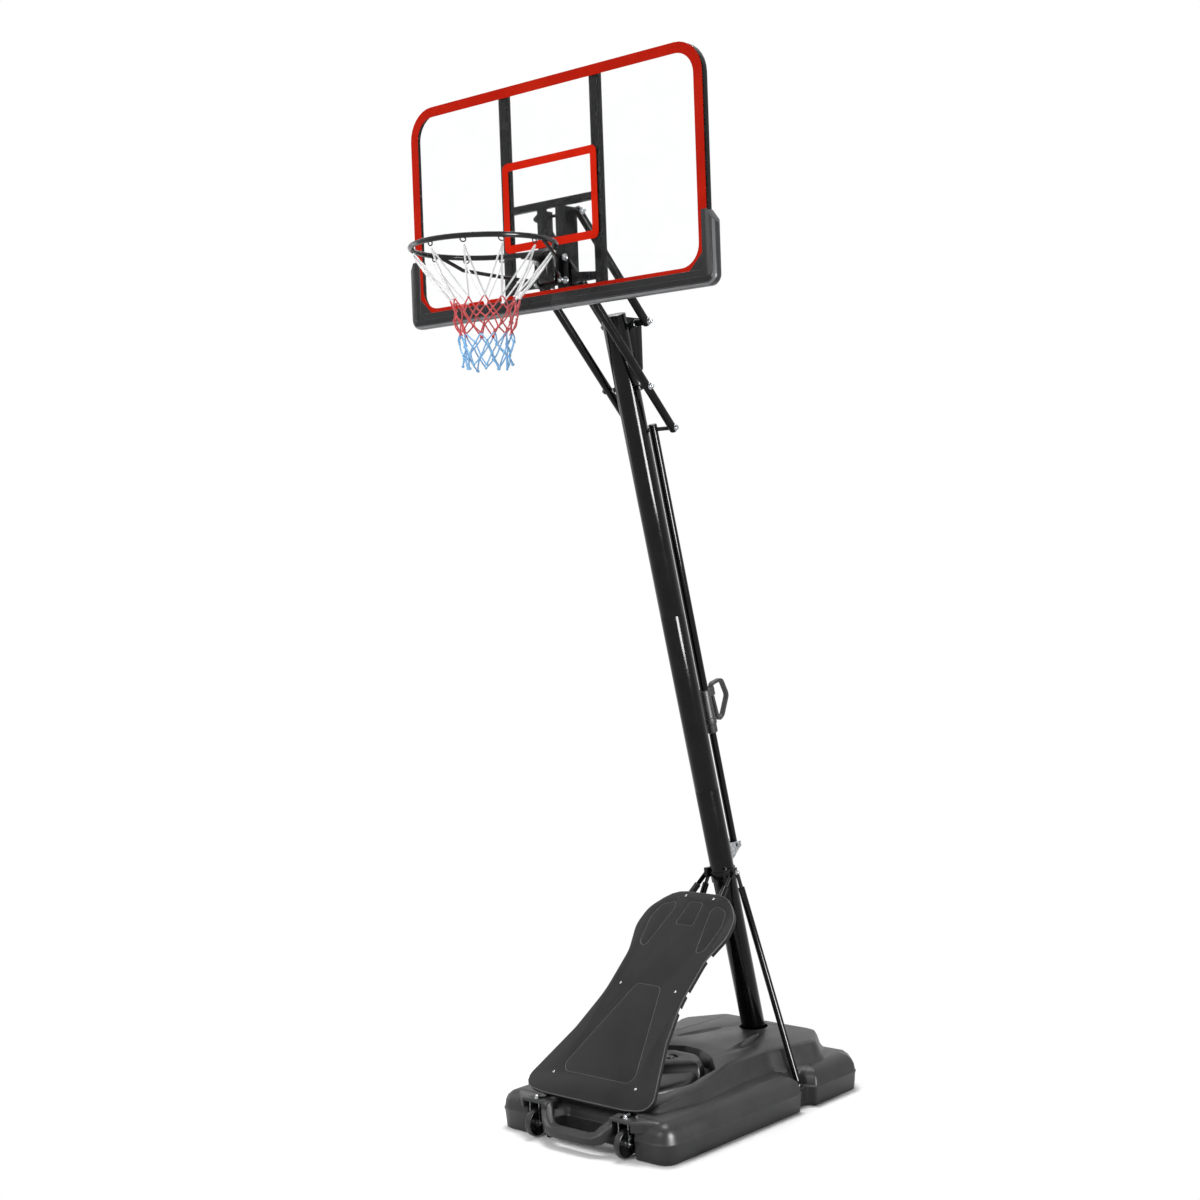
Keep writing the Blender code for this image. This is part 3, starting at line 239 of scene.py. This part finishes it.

# %% [markdown]
# Two of the mouldings get painted light and shade by the way their faces point.  On the edge
# guard the textured lip that faces straight forward is painted dark as shade, and the slopes
# around it are painted pale as if lit.  On the front panel the textured flat face is painted
# dark as shade, while its rounded rim and the fine grooves in it are painted pale, as thin
# highlight lines.  The cosine between a face and one direction picks the grey, so no mask has
# to be drawn.

# %% Paint light and shade on the guard and the panel by the way their faces point
PANEL_RISE = 0.8716               # the panel climbs this much for each metre it goes back


def paint_light_by_facing(finish, toward, stops):
    """Paint light and shade: multiply a finish's colour by a grey picked by the cosine between a face
    and a direction.
    """
    tree = finish.node_tree
    shader = tree.nodes["Principled BSDF"]
    normal = put(tree, "ShaderNodeNewGeometry").outputs["True Normal"]
    facing = put(tree, "ShaderNodeVectorMath", {0: normal, 1: toward}, operation="DOT_PRODUCT")
    tone = ramp(tree, facing.outputs["Value"], stops)
    plain = shader.inputs["Base Color"].links[0].from_socket
    toned = put(tree, "ShaderNodeMix", {"Factor": 1.0, MIX_A: plain, MIX_B: tone},
                data_type="RGBA", blend_type="MULTIPLY")
    tree.links.new(toned.outputs[MIX_RESULT], shader.inputs["Base Color"])


slope = math.atan(PANEL_RISE)
forward = Vector((0, -1, 0))
up_slope = Vector((0, math.cos(slope), math.sin(slope)))
off_slope = Vector((0, -math.sin(slope), math.cos(slope)))
# Painted light and shade on the guard: its slopes pale as if lit, its forward lip dark as shade.
paint_light_by_facing(guard_plastic, forward, [(0.25, grey(0.36)), (0.45, grey(1.0)),
                                         (0.85, grey(1.0)), (0.97, grey(0.09))])
# Painted highlights on the panel: pale rim and groove lines, its flat face darkened as shade.
paint_light_by_facing(panel_plastic, off_slope, [(0.30, grey(0.12)), (0.45, grey(1.0)),
                                           (0.95, grey(1.0)), (0.99, grey(0.12))])
print("panel slope:", round(math.degrees(slope), 1), "degrees")

# %% [markdown]
# ## Printed red bands
#
# The board's border and target are screen-printed on the back of the sheet.  Printing ink is
# flat and even, with only a slight mottle where the squeegee passed.  The target is a slightly
# warmer red than the border, because two prints are made.

# %% Ink finishes
border_red = surface("screen_printed_border_red", "#c3200a", "#b91a07", 160, (0.34, 0.44),
                     3.0, 0.006, Specular_IOR_Level=0.04)
target_red = surface("screen_printed_target_red", "#da230a", "#d01e07", 120, (0.34, 0.44),
                     3.0, 0.006, Specular_IOR_Level=0.04)
print("inks:", border_red.name, target_red.name)

# %% [markdown]
# ## The clear sheet
#
# The board is 4 mm of clear plastic.  It lets almost all light through, so it shows itself
# only by a trace of reflection and by faint wiping marks.  A principled shader with full
# transmission does that.  The index is kept well under acrylic's 1.49, because in the
# photograph the rails behind the sheet stay black: no bright room is mirrored in it.

# %% Clear sheet finish
SHEET_INDEX = 1.12
clear_sheet = bpy.data.materials.new("clear_acrylic_sheet")
clear_sheet.use_nodes = True
tree = clear_sheet.node_tree
shader = tree.nodes["Principled BSDF"]
where = put(tree, "ShaderNodeTexCoord").outputs["Object"]
wipes = put(tree, "ShaderNodeTexNoise", {"Vector": where, "Scale": 9.0, "Detail": 5.0,
                                         "Distortion": 1.2}).outputs["Fac"]
haze = put(tree, "ShaderNodeMapRange", {"Value": wipes, "From Min": 0.4, "From Max": 0.7,
                                        "To Min": 0.0, "To Max": 0.010})
tint = ramp(tree, wipes, [(0.3, hex_colour("#ffffff")), (0.7, hex_colour("#fdfefe"))])
tree.links.new(haze.outputs["Result"], shader.inputs["Roughness"])
tree.links.new(tint, shader.inputs["Base Color"])
shader.inputs["IOR"].default_value = SHEET_INDEX
shader.inputs["Transmission Weight"].default_value = 1.0
print("clear sheet:", clear_sheet.name, "index", SHEET_INDEX)

# %% [markdown]
# ## Braided net cord
#
# A net is tied from braided polyester cord 5 to 6 mm thick.  It is dyed in three stretches:
# white at the top, red in the middle and blue at the bottom.  The height on the net picks the
# dye, and a wave across the cord gives the braid's slanted ridges as bumps, with painted shade
# darkening the dye in the hollows between them.  Real ridges are 1 to 2 mm apart and too fine
# to show from here, so they are drawn wider.

# %% Net cord finish
BLUE_BELOW, RED_BELOW = 2.760, 2.874
NET_LOW, NET_HIGH = 2.6, 3.1      # heights that the dye ramp runs between
BRAID_RIDGE = 5.4675              # mm between the ridges
net_cord = bpy.data.materials.new("braided_polyester_cord")
net_cord.use_nodes = True
tree = net_cord.node_tree
shader = tree.nodes["Principled BSDF"]
where = put(tree, "ShaderNodeTexCoord").outputs["Object"]
height = put(tree, "ShaderNodeSeparateXYZ", {"Vector": where}).outputs["Z"]
spread = put(tree, "ShaderNodeMapRange", {"Value": height, "From Min": NET_LOW,
                                          "From Max": NET_HIGH})
blue_end, red_end = ((z - NET_LOW) / (NET_HIGH - NET_LOW) for z in (BLUE_BELOW, RED_BELOW))
dye = ramp(tree, spread.outputs["Result"],
           [(0.0, hex_colour("#8cc8f8")), (blue_end, hex_colour("#cf4548")),
            (red_end, hex_colour("#fbfbfc")), (1.0, hex_colour("#fdfdfe"))], smooth=False)
# Diagonal bands of scale 1 lie 2 pi / 10 apart along each axis, so 1 / sqrt(3) of that across.
ridge_scale = 2 * math.pi / (10 * math.sqrt(3) * BRAID_RIDGE * MM)
braid = put(tree, "ShaderNodeTexWave", {"Vector": where, "Scale": ridge_scale,
                                        "Distortion": 2.0}, bands_direction="DIAGONAL")
# Painted shade: the dye is darkened a little in the hollows between the braid's ridges.
shade = ramp(tree, braid.outputs["Fac"], [(0.0, grey(0.94)), (0.6, grey(1.0))])
braid_shaded_dye = put(tree, "ShaderNodeMix", {"Factor": 1.0, MIX_A: dye, MIX_B: shade}, data_type="RGBA",
           blend_type="MULTIPLY")
ridges = put(tree, "ShaderNodeBump", {"Height": braid.outputs["Fac"], "Distance": 0.2 * MM})
tree.links.new(braid_shaded_dye.outputs[MIX_RESULT], shader.inputs["Base Color"])
tree.links.new(ridges.outputs["Normal"], shader.inputs["Normal"])
shader.inputs["Roughness"].default_value = 0.85
shader.inputs["Sheen Weight"].default_value = 0.25
print("net cord:", net_cord.name)

# %% [markdown]
# ## Dressing the solids
#
# The solids arrive as loose triangles.  Real parts have no knife edges: tube ends are
# deburred, folded steel has a small radius and mouldings a larger one.  A stack of modifiers
# gives them that without touching the solids themselves.  Weld joins the triangles, Decimate
# merges flat ones, Bevel rounds the edges, and a small node group shades the result smooth
# except across true corners.

# %% The smoothing group
SMOOTH_BELOW = math.radians(38)   # faces that turn more than this keep their corner


def smoothing_group(limit):
    group = bpy.data.node_groups.new("smooth_below_angle", "GeometryNodeTree")
    for way in ("INPUT", "OUTPUT"):
        group.interface.new_socket("Geometry", in_out=way, socket_type="NodeSocketGeometry")
    start = put(group, "NodeGroupInput")
    faces = put(group, "GeometryNodeSetShadeSmooth",
                {"Geometry": start.outputs[0], "Shade Smooth": True}, domain="FACE")
    angle = put(group, "GeometryNodeInputMeshEdgeAngle")
    corner = put(group, "FunctionNodeCompare", {0: angle.outputs[0], 1: limit},
                 operation="GREATER_THAN")
    edges = put(group, "GeometryNodeSetShadeSmooth",
                {"Geometry": faces.outputs[0], "Selection": corner.outputs[0],
                 "Shade Smooth": False}, domain="EDGE")
    put(group, "NodeGroupOutput", {0: edges.outputs[0]})
    return group


smoothing = smoothing_group(SMOOTH_BELOW)

# %% The modifier stack
WELD_WITHIN = 0.02                # mm
FLAT_BELOW = math.radians(0.6)    # faces that turn less than this are one flat
EDGE_FROM = math.radians(34)      # faces that turn more than this meet in an edge


def dress(name, finish, radius):
    """Give a solid its finish and round its edges by a radius in mm, or not at all at 0."""
    solid = solids[name]
    weld = solid.modifiers.new("weld", "WELD")
    weld.merge_threshold = WELD_WITHIN * MM
    flat = solid.modifiers.new("merge_flats", "DECIMATE")
    flat.decimate_type = "DISSOLVE"
    flat.angle_limit = FLAT_BELOW
    if radius:
        edge = solid.modifiers.new("edge_radius", "BEVEL")
        edge.width = radius * MM
        edge.segments = 3
        edge.limit_method = "ANGLE"
        edge.angle_limit = EDGE_FROM
    smooth = solid.modifiers.new("smooth", "NODES")
    smooth.node_group = smoothing
    solid.data.materials.clear()
    solid.data.materials.append(finish)


# %% Give each solid its finish and edge radius
finishes = [
    (("base",), tank_plastic, 2.5), (("filler_cap",), tank_plastic, 1.0),
    (("front_panel",), panel_plastic, 1.2),
    (("wheel_left", "wheel_right"), wheel_plastic, 1.0),
    (("wheel_fork_left", "wheel_fork_right", "strut_bracket"), bright_zinc, 0.5),
    (("brace_front_left", "brace_front_right", "brace_rear_left", "brace_rear_right",
      "brace_collar", "pole_head"), gloss_black, 0.6),
    (("pole_lower", "pole_middle", "pole_upper", "strut_inner", "strut_outer"), gloss_black,
     0.5),
    (("pole_cap", "grip_clamp", "height_trigger"), grip_plastic, 0.8),
    (("lower_arm_left", "lower_arm_right", "upper_arm_left", "upper_arm_right"), satin_black,
     0.4),
    (("pole_axle_lower", "pole_axle_upper", "board_axle_lower", "board_axle_upper"),
     satin_black, 0.5),
    (("board_frame", "board_rail_left", "board_rail_right", "board_crossbar"), satin_black,
     1.0),
    (("board_tie_left", "board_tie_right", "board_hanger_left", "board_hanger_right",
      "rim_mount_plate"), satin_black, 0.5),
    (("edge_guard_left", "edge_guard_right"), guard_plastic, 1.2),
    (("board_border",), border_red, 0), (("target_square",), target_red, 0),
    (("board_sheet",), clear_sheet, 0),
    (("rim",), rim_black, 0.8), (("rim_spring_cover",), rim_black, 1.5),
]
for names, finish, radius in finishes:
    for name in names:
        dress(name, finish, radius)
print("dressed:", sum(len(names) for names, finish, radius in finishes))

# %% [markdown]
# ## Fasteners
#
# A hoop is bolted together from a box of zinc-plated hardware: hexagon bolts with washers,
# domed cap nuts, pan-head screws.  One function builds them all as a turned washer, a
# hexagonal prism and a turned dome, joined in one mesh and pointed along the bolt's axis.  All
# its sizes are shares of the thread's diameter, as in a table of standard hardware.


# %% Hang a mesh on a body
def new_piece(name, bm, finish, body, at=(0, 0, 0), axis=(0, 0, 1)):
    """Turn a bmesh into a piece that rides on a body, with its own Z along the axis."""
    mesh = bpy.data.meshes.new(name)
    bmesh.ops.recalc_face_normals(bm, faces=bm.faces)
    bm.to_mesh(mesh)
    bm.free()
    mesh.shade_smooth()
    mesh.set_sharp_from_angle(angle=SMOOTH_BELOW)
    mesh.materials.append(finish)
    made = bpy.data.objects.new(name, mesh)
    bpy.context.scene.collection.objects.link(made)
    aim = Vector((0, 0, 1)).rotation_difference(Vector(axis))
    made.matrix_world = Matrix.Translation(at) @ aim.to_matrix().to_4x4()
    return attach(made, body)


# %% Turn profiles and build hexagons
CHAMFER = 0.10                    # of a hexagon's width across flats


def turn(bm, profile, steps):
    """Spin (radius, height) pairs about Z into one skin."""
    rings = []
    for radius, height in profile:
        if radius < 1e-6:
            rings.append([bm.verts.new((0, 0, height))] * steps)
            continue
        rings.append([bm.verts.new((radius * math.cos(a), radius * math.sin(a), height))
                      for a in (2 * math.pi * k / steps for k in range(steps))])
    for low, high in zip(rings, rings[1:]):
        for i in range(steps):
            j = (i + 1) % steps
            corners = []
            for corner in (low[i], low[j], high[j], high[i]):
                if corner not in corners:
                    corners.append(corner)
            if len(corners) > 2:
                bm.faces.new(corners)


def hexagon(bm, across, low, high, turned_by):
    """Prism with a chamfered top; across is the width across flats."""
    r = across / math.sqrt(3)
    c = CHAMFER * across
    bottom, rim, top_ring = [], [], []
    for k in range(6):
        a = math.radians(60 * k) + turned_by
        x, y = math.cos(a), math.sin(a)
        bottom.append(bm.verts.new((r * x, r * y, low)))
        rim.append(bm.verts.new((r * x, r * y, high - c * 0.5)))
        top_ring.append(bm.verts.new(((r - c) * x, (r - c) * y, high)))
    for a, b in ((bottom, rim), (rim, top_ring)):
        for i in range(6):
            j = (i + 1) % 6
            bm.faces.new((a[i], a[j], b[j], b[i]))
    bm.faces.new(top_ring)
    bm.faces.new(bottom[::-1])


# %% Build a fastener
placed = []


def fasten(kind, at, axis, body, d):
    """kind is bolt, cap, nut or screw; d is the thread's diameter in metres, which sizes all."""
    number = len(placed) + 1
    bm = bmesh.new()
    if kind == "screw":
        turn(bm, [(d, 0), (d, d * 0.25), (d * 0.8, d * 0.5), (d * 0.45, d * 0.6), (d * 0.4, d * 0.3),
                  (0, d * 0.3)], 20)
    else:
        turn(bm, [(0, 0), (d * 1.15, 0), (d * 1.2, d * 0.06), (d * 1.15, d * 0.16),
                  (d * 0.8, d * 0.16)], 24)
        hexagon(bm, d * 1.65, d * 0.16, d * 0.80, 0.3 * number)
        if kind == "cap":
            turn(bm, [(d * 0.74, d * 0.7), (d * 0.72, d * 0.95), (d * 0.5, d * 1.35),
                      (d * 0.2, d * 1.5), (0, d * 1.52)], 20)
        if kind == "nut":
            turn(bm, [(d * 0.5, d * 0.7), (d * 0.5, d * 1.15), (d * 0.4, d * 1.25), (0, d * 1.25)],
                 16)
    placed.append(new_piece("%s_%02d" % (kind, number), bm, bright_zinc, body, at, axis))


# %% [markdown]
# ## Bolts on the lift
#
# Four through bolts join the arms to the pole and to the board.  Each ends in a domed nut on
# one arm and a plain nut on the other, and the two in the pole have lock nuts beside their
# spacers.  Two bolt heads close the stub axles at the tails of the lower arms.  The model's
# joints say where the bolts are, and the arms make a parallelogram with the board.

# %% Fasten the lift
ARM_FACE = 0.1055                 # outer face of an arm from the middle
ARM_TAIL = Vector((0, 0.21373, 2.47309))
AXLE_THREAD, TAIL_THREAD = 0.0105, 0.0095
LOCK_NUT = 0.0065                 # height
joints = {joint["name"]: joint for joint in frame["joints"]}
pole_low, pole_high, board_low = (Vector(joints[name]["pos_m"]) for name in
                                  ("height_lift", "upper_arm_lift", "board_level"))
board_high = board_low + pole_high - pole_low
for body, pivot in (("stand", pole_low), ("stand", pole_high), ("lower_arms", board_low),
                    ("upper_arms", board_high)):
    fasten("cap", pivot + Vector((ARM_FACE, 0, 0)), (1, 0, 0), body, AXLE_THREAD)
    fasten("nut", pivot - Vector((ARM_FACE, 0, 0)), (-1, 0, 0), body, AXLE_THREAD)
for side in (-1, 1):
    tail = ARM_TAIL + Vector((side * ARM_FACE, 0, 0))
    fasten("bolt", tail, (side, 0, 0), "lower_arms", TAIL_THREAD)
for pivot, reach, across in ((pole_low, 60, 0.0185), (pole_high, 40, 0.0245)):
    for side in (-1, 1):
        bm = bmesh.new()
        hexagon(bm, across, 0.0, LOCK_NUT, 0.2)
        new_piece("lock_nut_%d_%d" % (reach, side > 0), bm, bright_zinc, "stand",
                  pivot + Vector((side * reach * MM, 0, 0)), (side, 0, 0))
print("fasteners so far:", len(placed))

# %% [markdown]
# ## Bolts on the board and the rim
#
# The rim's back plate is bolted through the clear sheet into the hanging channels, so four
# large washers show on its face.  Four smaller bolts hold the channels higher up.  The rim
# breaks away about a bolt with domed nuts, and two more bolts show on top of the shelf that
# carries the ring.

# %% Fasten the board and the rim
PLATE_FACE = -0.2971              # front of the rim's back plate
CHANNEL_FACE = -0.2836            # back of the hanging channels' web
for x in (-0.066, 0.066):
    for z in (3.036, 2.960):
        fasten("bolt", (x, PLATE_FACE, z), (0, -1, 0), "board", 0.0105)
for z in (3.160, 3.090):
    for x in (-0.046, 0.046):
        fasten("bolt", (x, CHANNEL_FACE, z), (0, 1, 0), "board", 0.0070)
for side in (-1, 1):
    fasten("cap", (side * 0.0507, -0.3085, 2.9625), (side, 0, 0), "rim_unit", 0.0090)
    fasten("bolt", (side * 0.0300, -0.3600, 3.0452), (0, 0, 1), "rim_unit", 0.0070)
print("fasteners so far:", len(placed))

# %% [markdown]
# ## Bolts on the base, panel and pole
#
# The wheel forks are held by a domed nut and two screws each, the rear braces by one domed nut
# in each waist notch, the collar by a domed nut on each side of the pole, the strut's foot
# bracket by two bolts a side, and the panel by six small screws.  The panel slopes, so its
# screws are placed along the slope and pointed square to it.

# %% Fasten the base, panel and pole
FORK_SEAT = 0.1362                # top of the lobes over the wheel forks
PANEL_FOOT = Vector((0, -0.2273, 0.2140))    # between the two lowest screws
for x, along in ((0.065, 0.815), (0.128, 0.401), (0.190, 0.0)):
    for side in (-1, 1):
        spot = PANEL_FOOT + up_slope * along + Vector((side * x, 0, 0))
        fasten("screw", spot, off_slope, "stand", 0.0052)
for side in (-1, 1):
    fasten("cap", (side * 0.2060, -0.3020, FORK_SEAT), (0, 0, 1), "stand", 0.0085)
    fasten("screw", (side * 0.1900, -0.2620, FORK_SEAT), (0, 0, 1), "stand", 0.0055)
    fasten("screw", (side * 0.2260, -0.2680, FORK_SEAT), (0, 0, 1), "stand", 0.0055)
    fasten("cap", (side * 0.3440, 0.4925, 0.0800), (0, 0, 1), "stand", 0.0080)
    fasten("cap", (side * 0.0664, 0.5290, 0.8260), (side, 0, 0), "stand", 0.0085)
    fasten("bolt", (side * 0.0240, 0.6050, 0.9150), (side, 0, 0), "stand", 0.0075)
    fasten("bolt", (side * 0.0178, 0.5650, 0.8860), (side, 0, 0), "stand", 0.0060)
print("fasteners:", len(placed))

# %% [markdown]
# ## Net hooks
#
# Twelve little wire hooks are welded under the ring, and each holds one loop of the net.  A
# hook is a thin rod bent in a curl, which a curve with a round section follows.  The rim's
# front edge and its half width give the ring's middle.

# %% Bend and place the hooks
rim_low, rim_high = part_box("rim")
RING_HEIGHT, RING_BAR = 3.050, 0.018
ring = Vector((0, rim_low.y + rim_high.x, RING_HEIGHT))
ring_radius = rim_high.x - RING_BAR / 2
HOOKS = 12
HOOK_WIRE = 0.0044
HOOK_INSET = 0.0035               # inside the middle of the ring's bar
WELD_DROP = 0.0085                # below the middle of the ring's bar
CURL = [(-0.012, 0.002), (-0.011, -0.005), (-0.006, -0.010), (0.001, -0.011),
        (0.006, -0.008), (0.007, -0.003), (0.003, 0.001)]
hooks = bpy.data.curves.new("net_hooks", "CURVE")
hooks.dimensions = "3D"
hooks.bevel_depth = HOOK_WIRE / 2
hooks.bevel_resolution = 2
for k in range(HOOKS):
    a = 2 * math.pi * k / HOOKS
    out = Vector((math.cos(a), math.sin(a), 0))
    along = Vector((-math.sin(a), math.cos(a), 0))
    weld = ring + out * (ring_radius - HOOK_INSET) - Vector((0, 0, WELD_DROP))
    spline = hooks.splines.new("POLY")
    spline.points.add(len(CURL) - 1)
    for point, (aside, rise) in zip(spline.points, CURL):
        point.co = (*(weld + along * aside + Vector((0, 0, rise))), 1)
hook_piece = bpy.data.objects.new("net_hooks", hooks)
bpy.context.scene.collection.objects.link(hook_piece)
hooks.materials.append(rim_black)
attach(hook_piece, "rim_unit")
print("hooks:", len(hooks.splines), "ring radius:", round(ring_radius / MM, 1), "mm")

# %% [markdown]
# ## The knotted net
#
# The net hangs from twelve hooks.  Two cords leave each hook and run down to a first row of
# knots, a little under half the depth.  There they part again, and so draw short diamonds that
# narrow towards the bottom.  A grid of knots on a tapering tube gives the meeting points.  No
# two diamonds are quite alike, so each knot is nudged by a pair of sines, more so lower down.

# %% Lay out the knots
HOOK_LEVEL = (3.024, 0.2340)      # height and radius
FIRST_KNOT, LAST_KNOT = (2.878, 0.1130), (2.657, 0.0760)
DIAMOND_ROWS = 6
TAPER = 1.6                       # how early the tube narrows
SWING, SWELL, DROOP = 0.075, 0.0070, 0.0065    # largest nudges: round in radians, out, up
FREE_ROW = 3                      # from this row down the knots have their full nudge
COLUMNS = 2 * HOOKS
levels = [HOOK_LEVEL]
for step in range(DIAMOND_ROWS + 1):
    t = step / DIAMOND_ROWS
    levels.append((FIRST_KNOT[0] + (LAST_KNOT[0] - FIRST_KNOT[0]) * t,
                   LAST_KNOT[1] + (FIRST_KNOT[1] - LAST_KNOT[1]) * (1 - t) ** TAPER))
print("knot heights:", [round(z, 3) for z, radius in levels])


def knot(column, row):
    z, radius = levels[row]
    free = min(1.0, row / FREE_ROW)
    sideways = math.sin(column * 2.3 + row * 1.7) * free
    outwards = math.sin(column * 1.1 - row * 2.9) * free
    a = 2 * math.pi * column / COLUMNS + SWING * sideways
    radius += SWELL * outwards
    return Vector((radius * math.cos(a), radius * math.sin(a) + ring.y, z + DROOP * outwards))


# %% [markdown]
# Each stretch of cord is one short curve between two knots that bows outwards and sags a
# little.  The long stretches from the hooks are the thickest.  A knot is a small ball, squeezed
# and turned so that no two look the same.

# %% Draw the cords
CORD = 0.0062
LOWER_CORD = 0.84                 # share of the thickness below the first knots
STEPS = 6
BOW, BOW_CHANGE, SAG = 0.002, 0.0040, 0.0015
cords = bpy.data.curves.new("net_cords", "CURVE")
cords.dimensions = "3D"
cords.bevel_depth = CORD / 2
cords.bevel_resolution = 2
cords.use_fill_caps = True


def draw_cord(column, row, step):
    here, there = knot(column, row), knot((column + step) % COLUMNS, row + 1)
    middle = (here + there) / 2
    outward = Vector((middle.x, middle.y - ring.y, 0)).normalized()
    bow = BOW + BOW_CHANGE * math.sin(column * 1.9 + row + step)
    spline = cords.splines.new("POLY")
    spline.points.add(STEPS)
    for k, point in enumerate(spline.points):
        swell = math.sin(math.pi * k / STEPS)
        spot = here.lerp(there, k / STEPS) + outward * bow * swell
        spot.z -= SAG * swell
        point.co = (*spot, 1)
        point.radius = LOWER_CORD if row else 1.0


for row in range(len(levels) - 1):
    for column in range(row % 2, COLUMNS, 2):
        for step in (-1, 1):
            draw_cord(column, row, step)
net_cords = bpy.data.objects.new("net_cords", cords)
bpy.context.scene.collection.objects.link(net_cords)
cords.materials.append(net_cord)
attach(net_cords, "rim_unit")
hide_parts("net")
print("cords:", len(cords.splines))

# %% Tie the knots
KNOT_RADIUS = 0.0052
SQUEEZE = Matrix.Diagonal((1.25, 0.85, 1, 1))
lumps = bmesh.new()
for row in range(1, len(levels)):
    for column in range(row % 2, COLUMNS, 2):
        ball = bmesh.ops.create_icosphere(lumps, subdivisions=2, radius=KNOT_RADIUS)["verts"]
        spin = Matrix.Rotation(column * 0.9 + row, 4, "Z") @ SQUEEZE
        place = Matrix.Translation(knot(column, row)) @ spin
        bmesh.ops.transform(lumps, matrix=place, verts=ball)
new_piece("net_knots", lumps, net_cord, "rim_unit")
print("knots:", len(levels[1:]) * HOOKS)

# %% [markdown]
# ## The studio
#
# The hoop stands on a white floor under soft light.  Camera rays, mirrored rays and rays
# through the clear sheet all see a plain white room.  The light that the room really gives is
# much weaker, so the lamps decide how bright the hoop is.

# %% The white room
ROOM_LIGHT = 0.34


def looking_rays(tree):
    """1 for a ray that looks at the room: from the camera, through the sheet, off a gloss."""
    rays = put(tree, "ShaderNodeLightPath")
    looking = rays.outputs["Is Camera Ray"]
    for kind in ("Is Transmission Ray", "Is Glossy Ray"):
        looking = put(tree, "ShaderNodeMath", {0: looking, 1: rays.outputs[kind]},
                      operation="MAXIMUM").outputs[0]
    return looking


world = bpy.data.worlds.new("white_room")
bpy.context.scene.world = world
world.use_nodes = True
tree = world.node_tree
tree.nodes.clear()
soft = put(tree, "ShaderNodeBackground", {"Color": grey(1), "Strength": ROOM_LIGHT})
white = put(tree, "ShaderNodeBackground", {"Color": grey(1), "Strength": 1.0})
both = put(tree, "ShaderNodeMixShader", {0: looking_rays(tree), 1: soft.outputs[0],
                                         2: white.outputs[0]})
put(tree, "ShaderNodeOutputWorld", {"Surface": both.outputs[0]})
print("room:", world.name, "light:", ROOM_LIGHT)

# %% [markdown]
# ## The floor
#
# The floor keeps the shadow near the base and fades to plain white further out, so the picture
# has no horizon.  It throws back less light than it shows, so the tank's sides stay darker than
# its top.

# %% Paint and lay the floor
SHADOW_MIDDLE = (0, 0.25, 0)
SHADOW_FROM, SHADOW_TO = 0.55, 1.10    # metres from the middle where the shadow fades out
FLOOR_SEEN, FLOOR_BOUNCE = 0.97, 0.62
FLOOR_HALF = 14
FLOOR_DROP = 0.0005               # keeps the floor just clear of the tank
floor_paint = bpy.data.materials.new("white_floor")
floor_paint.use_nodes = True
tree = floor_paint.node_tree
tree.nodes.clear()
seen = looking_rays(tree)
where = put(tree, "ShaderNodeTexCoord").outputs["Object"]
away = put(tree, "ShaderNodeVectorMath", {0: where, 1: SHADOW_MIDDLE}, operation="DISTANCE")
fade = put(tree, "ShaderNodeMapRange", {"Value": away.outputs["Value"],
                                        "From Min": SHADOW_FROM, "From Max": SHADOW_TO})
fade = put(tree, "ShaderNodeMath", {0: fade.outputs[0], 1: seen}, operation="MULTIPLY")
paint = put(tree, "ShaderNodeMix", {"Factor": seen, MIX_A: grey(FLOOR_BOUNCE),
                                    MIX_B: grey(FLOOR_SEEN)}, data_type="RGBA")
matt = put(tree, "ShaderNodeBsdfDiffuse", {"Color": paint.outputs[MIX_RESULT]})
glow = put(tree, "ShaderNodeEmission", {"Color": grey(1), "Strength": 1.0})
both = put(tree, "ShaderNodeMixShader", {0: fade.outputs[0], 1: matt.outputs[0],
                                         2: glow.outputs[0]})
put(tree, "ShaderNodeOutputMaterial", {"Surface": both.outputs[0]})
bm = bmesh.new()
bmesh.ops.create_grid(bm, x_segments=8, y_segments=8, size=FLOOR_HALF)
sheet = bpy.data.meshes.new("studio_floor")
bm.to_mesh(sheet)
bm.free()
sheet.materials.append(floor_paint)
floor = bpy.data.objects.new("studio_floor", sheet)
bpy.context.scene.collection.objects.link(floor)
floor.location.z = -FLOOR_DROP
print("floor:", 2 * FLOOR_HALF, "m wide")

# %% [markdown]
# ## The lamps
#
# A softbox overhead lights the deck and the slopes, a second one in front lights the board, and
# a weak one on the left opens the shadows.  The tall softbox on the right is seen only in
# reflections: it draws the thin bright line on the pole.


# %% Hang the softboxes
def lamp(name, spot, target, size, watts):
    light = bpy.data.lights.new(name, "AREA")
    light.shape = "RECTANGLE"
    light.size, light.size_y = size
    light.energy = watts
    made = bpy.data.objects.new(name, light)
    bpy.context.scene.collection.objects.link(made)
    made.location = spot
    aim = Vector(target) - Vector(spot)
    made.rotation_euler = aim.to_track_quat("-Z", "Y").to_euler()
    return made


# name, place, what it points at, width and height, watts
lamp("overhead_softbox", (-0.6, 0.8, 6.8), (0, 0, 0.4), (2.6, 2.6), 360)
lamp("front_softbox", (-0.5, -6.5, 4.6), (0, 0, 1.8), (2.5, 2.5), 210)
lamp("left_softbox", (-6.0, -1.2, 3.0), (0, 0, 1.8), (2.0, 4.0), 50)
tall = lamp("tall_softbox", (4.4, -0.60, 1.85), (0, 0.1, 1.85), (1.40, 1.90), 560)
tall.visible_diffuse = False
print("lamps:", len(bpy.data.lights))

# %% [markdown]
# ## Finish
#
# The render uses the Standard view transform.

# %% Set the view transform
bpy.context.scene.view_settings.view_transform = "Standard"
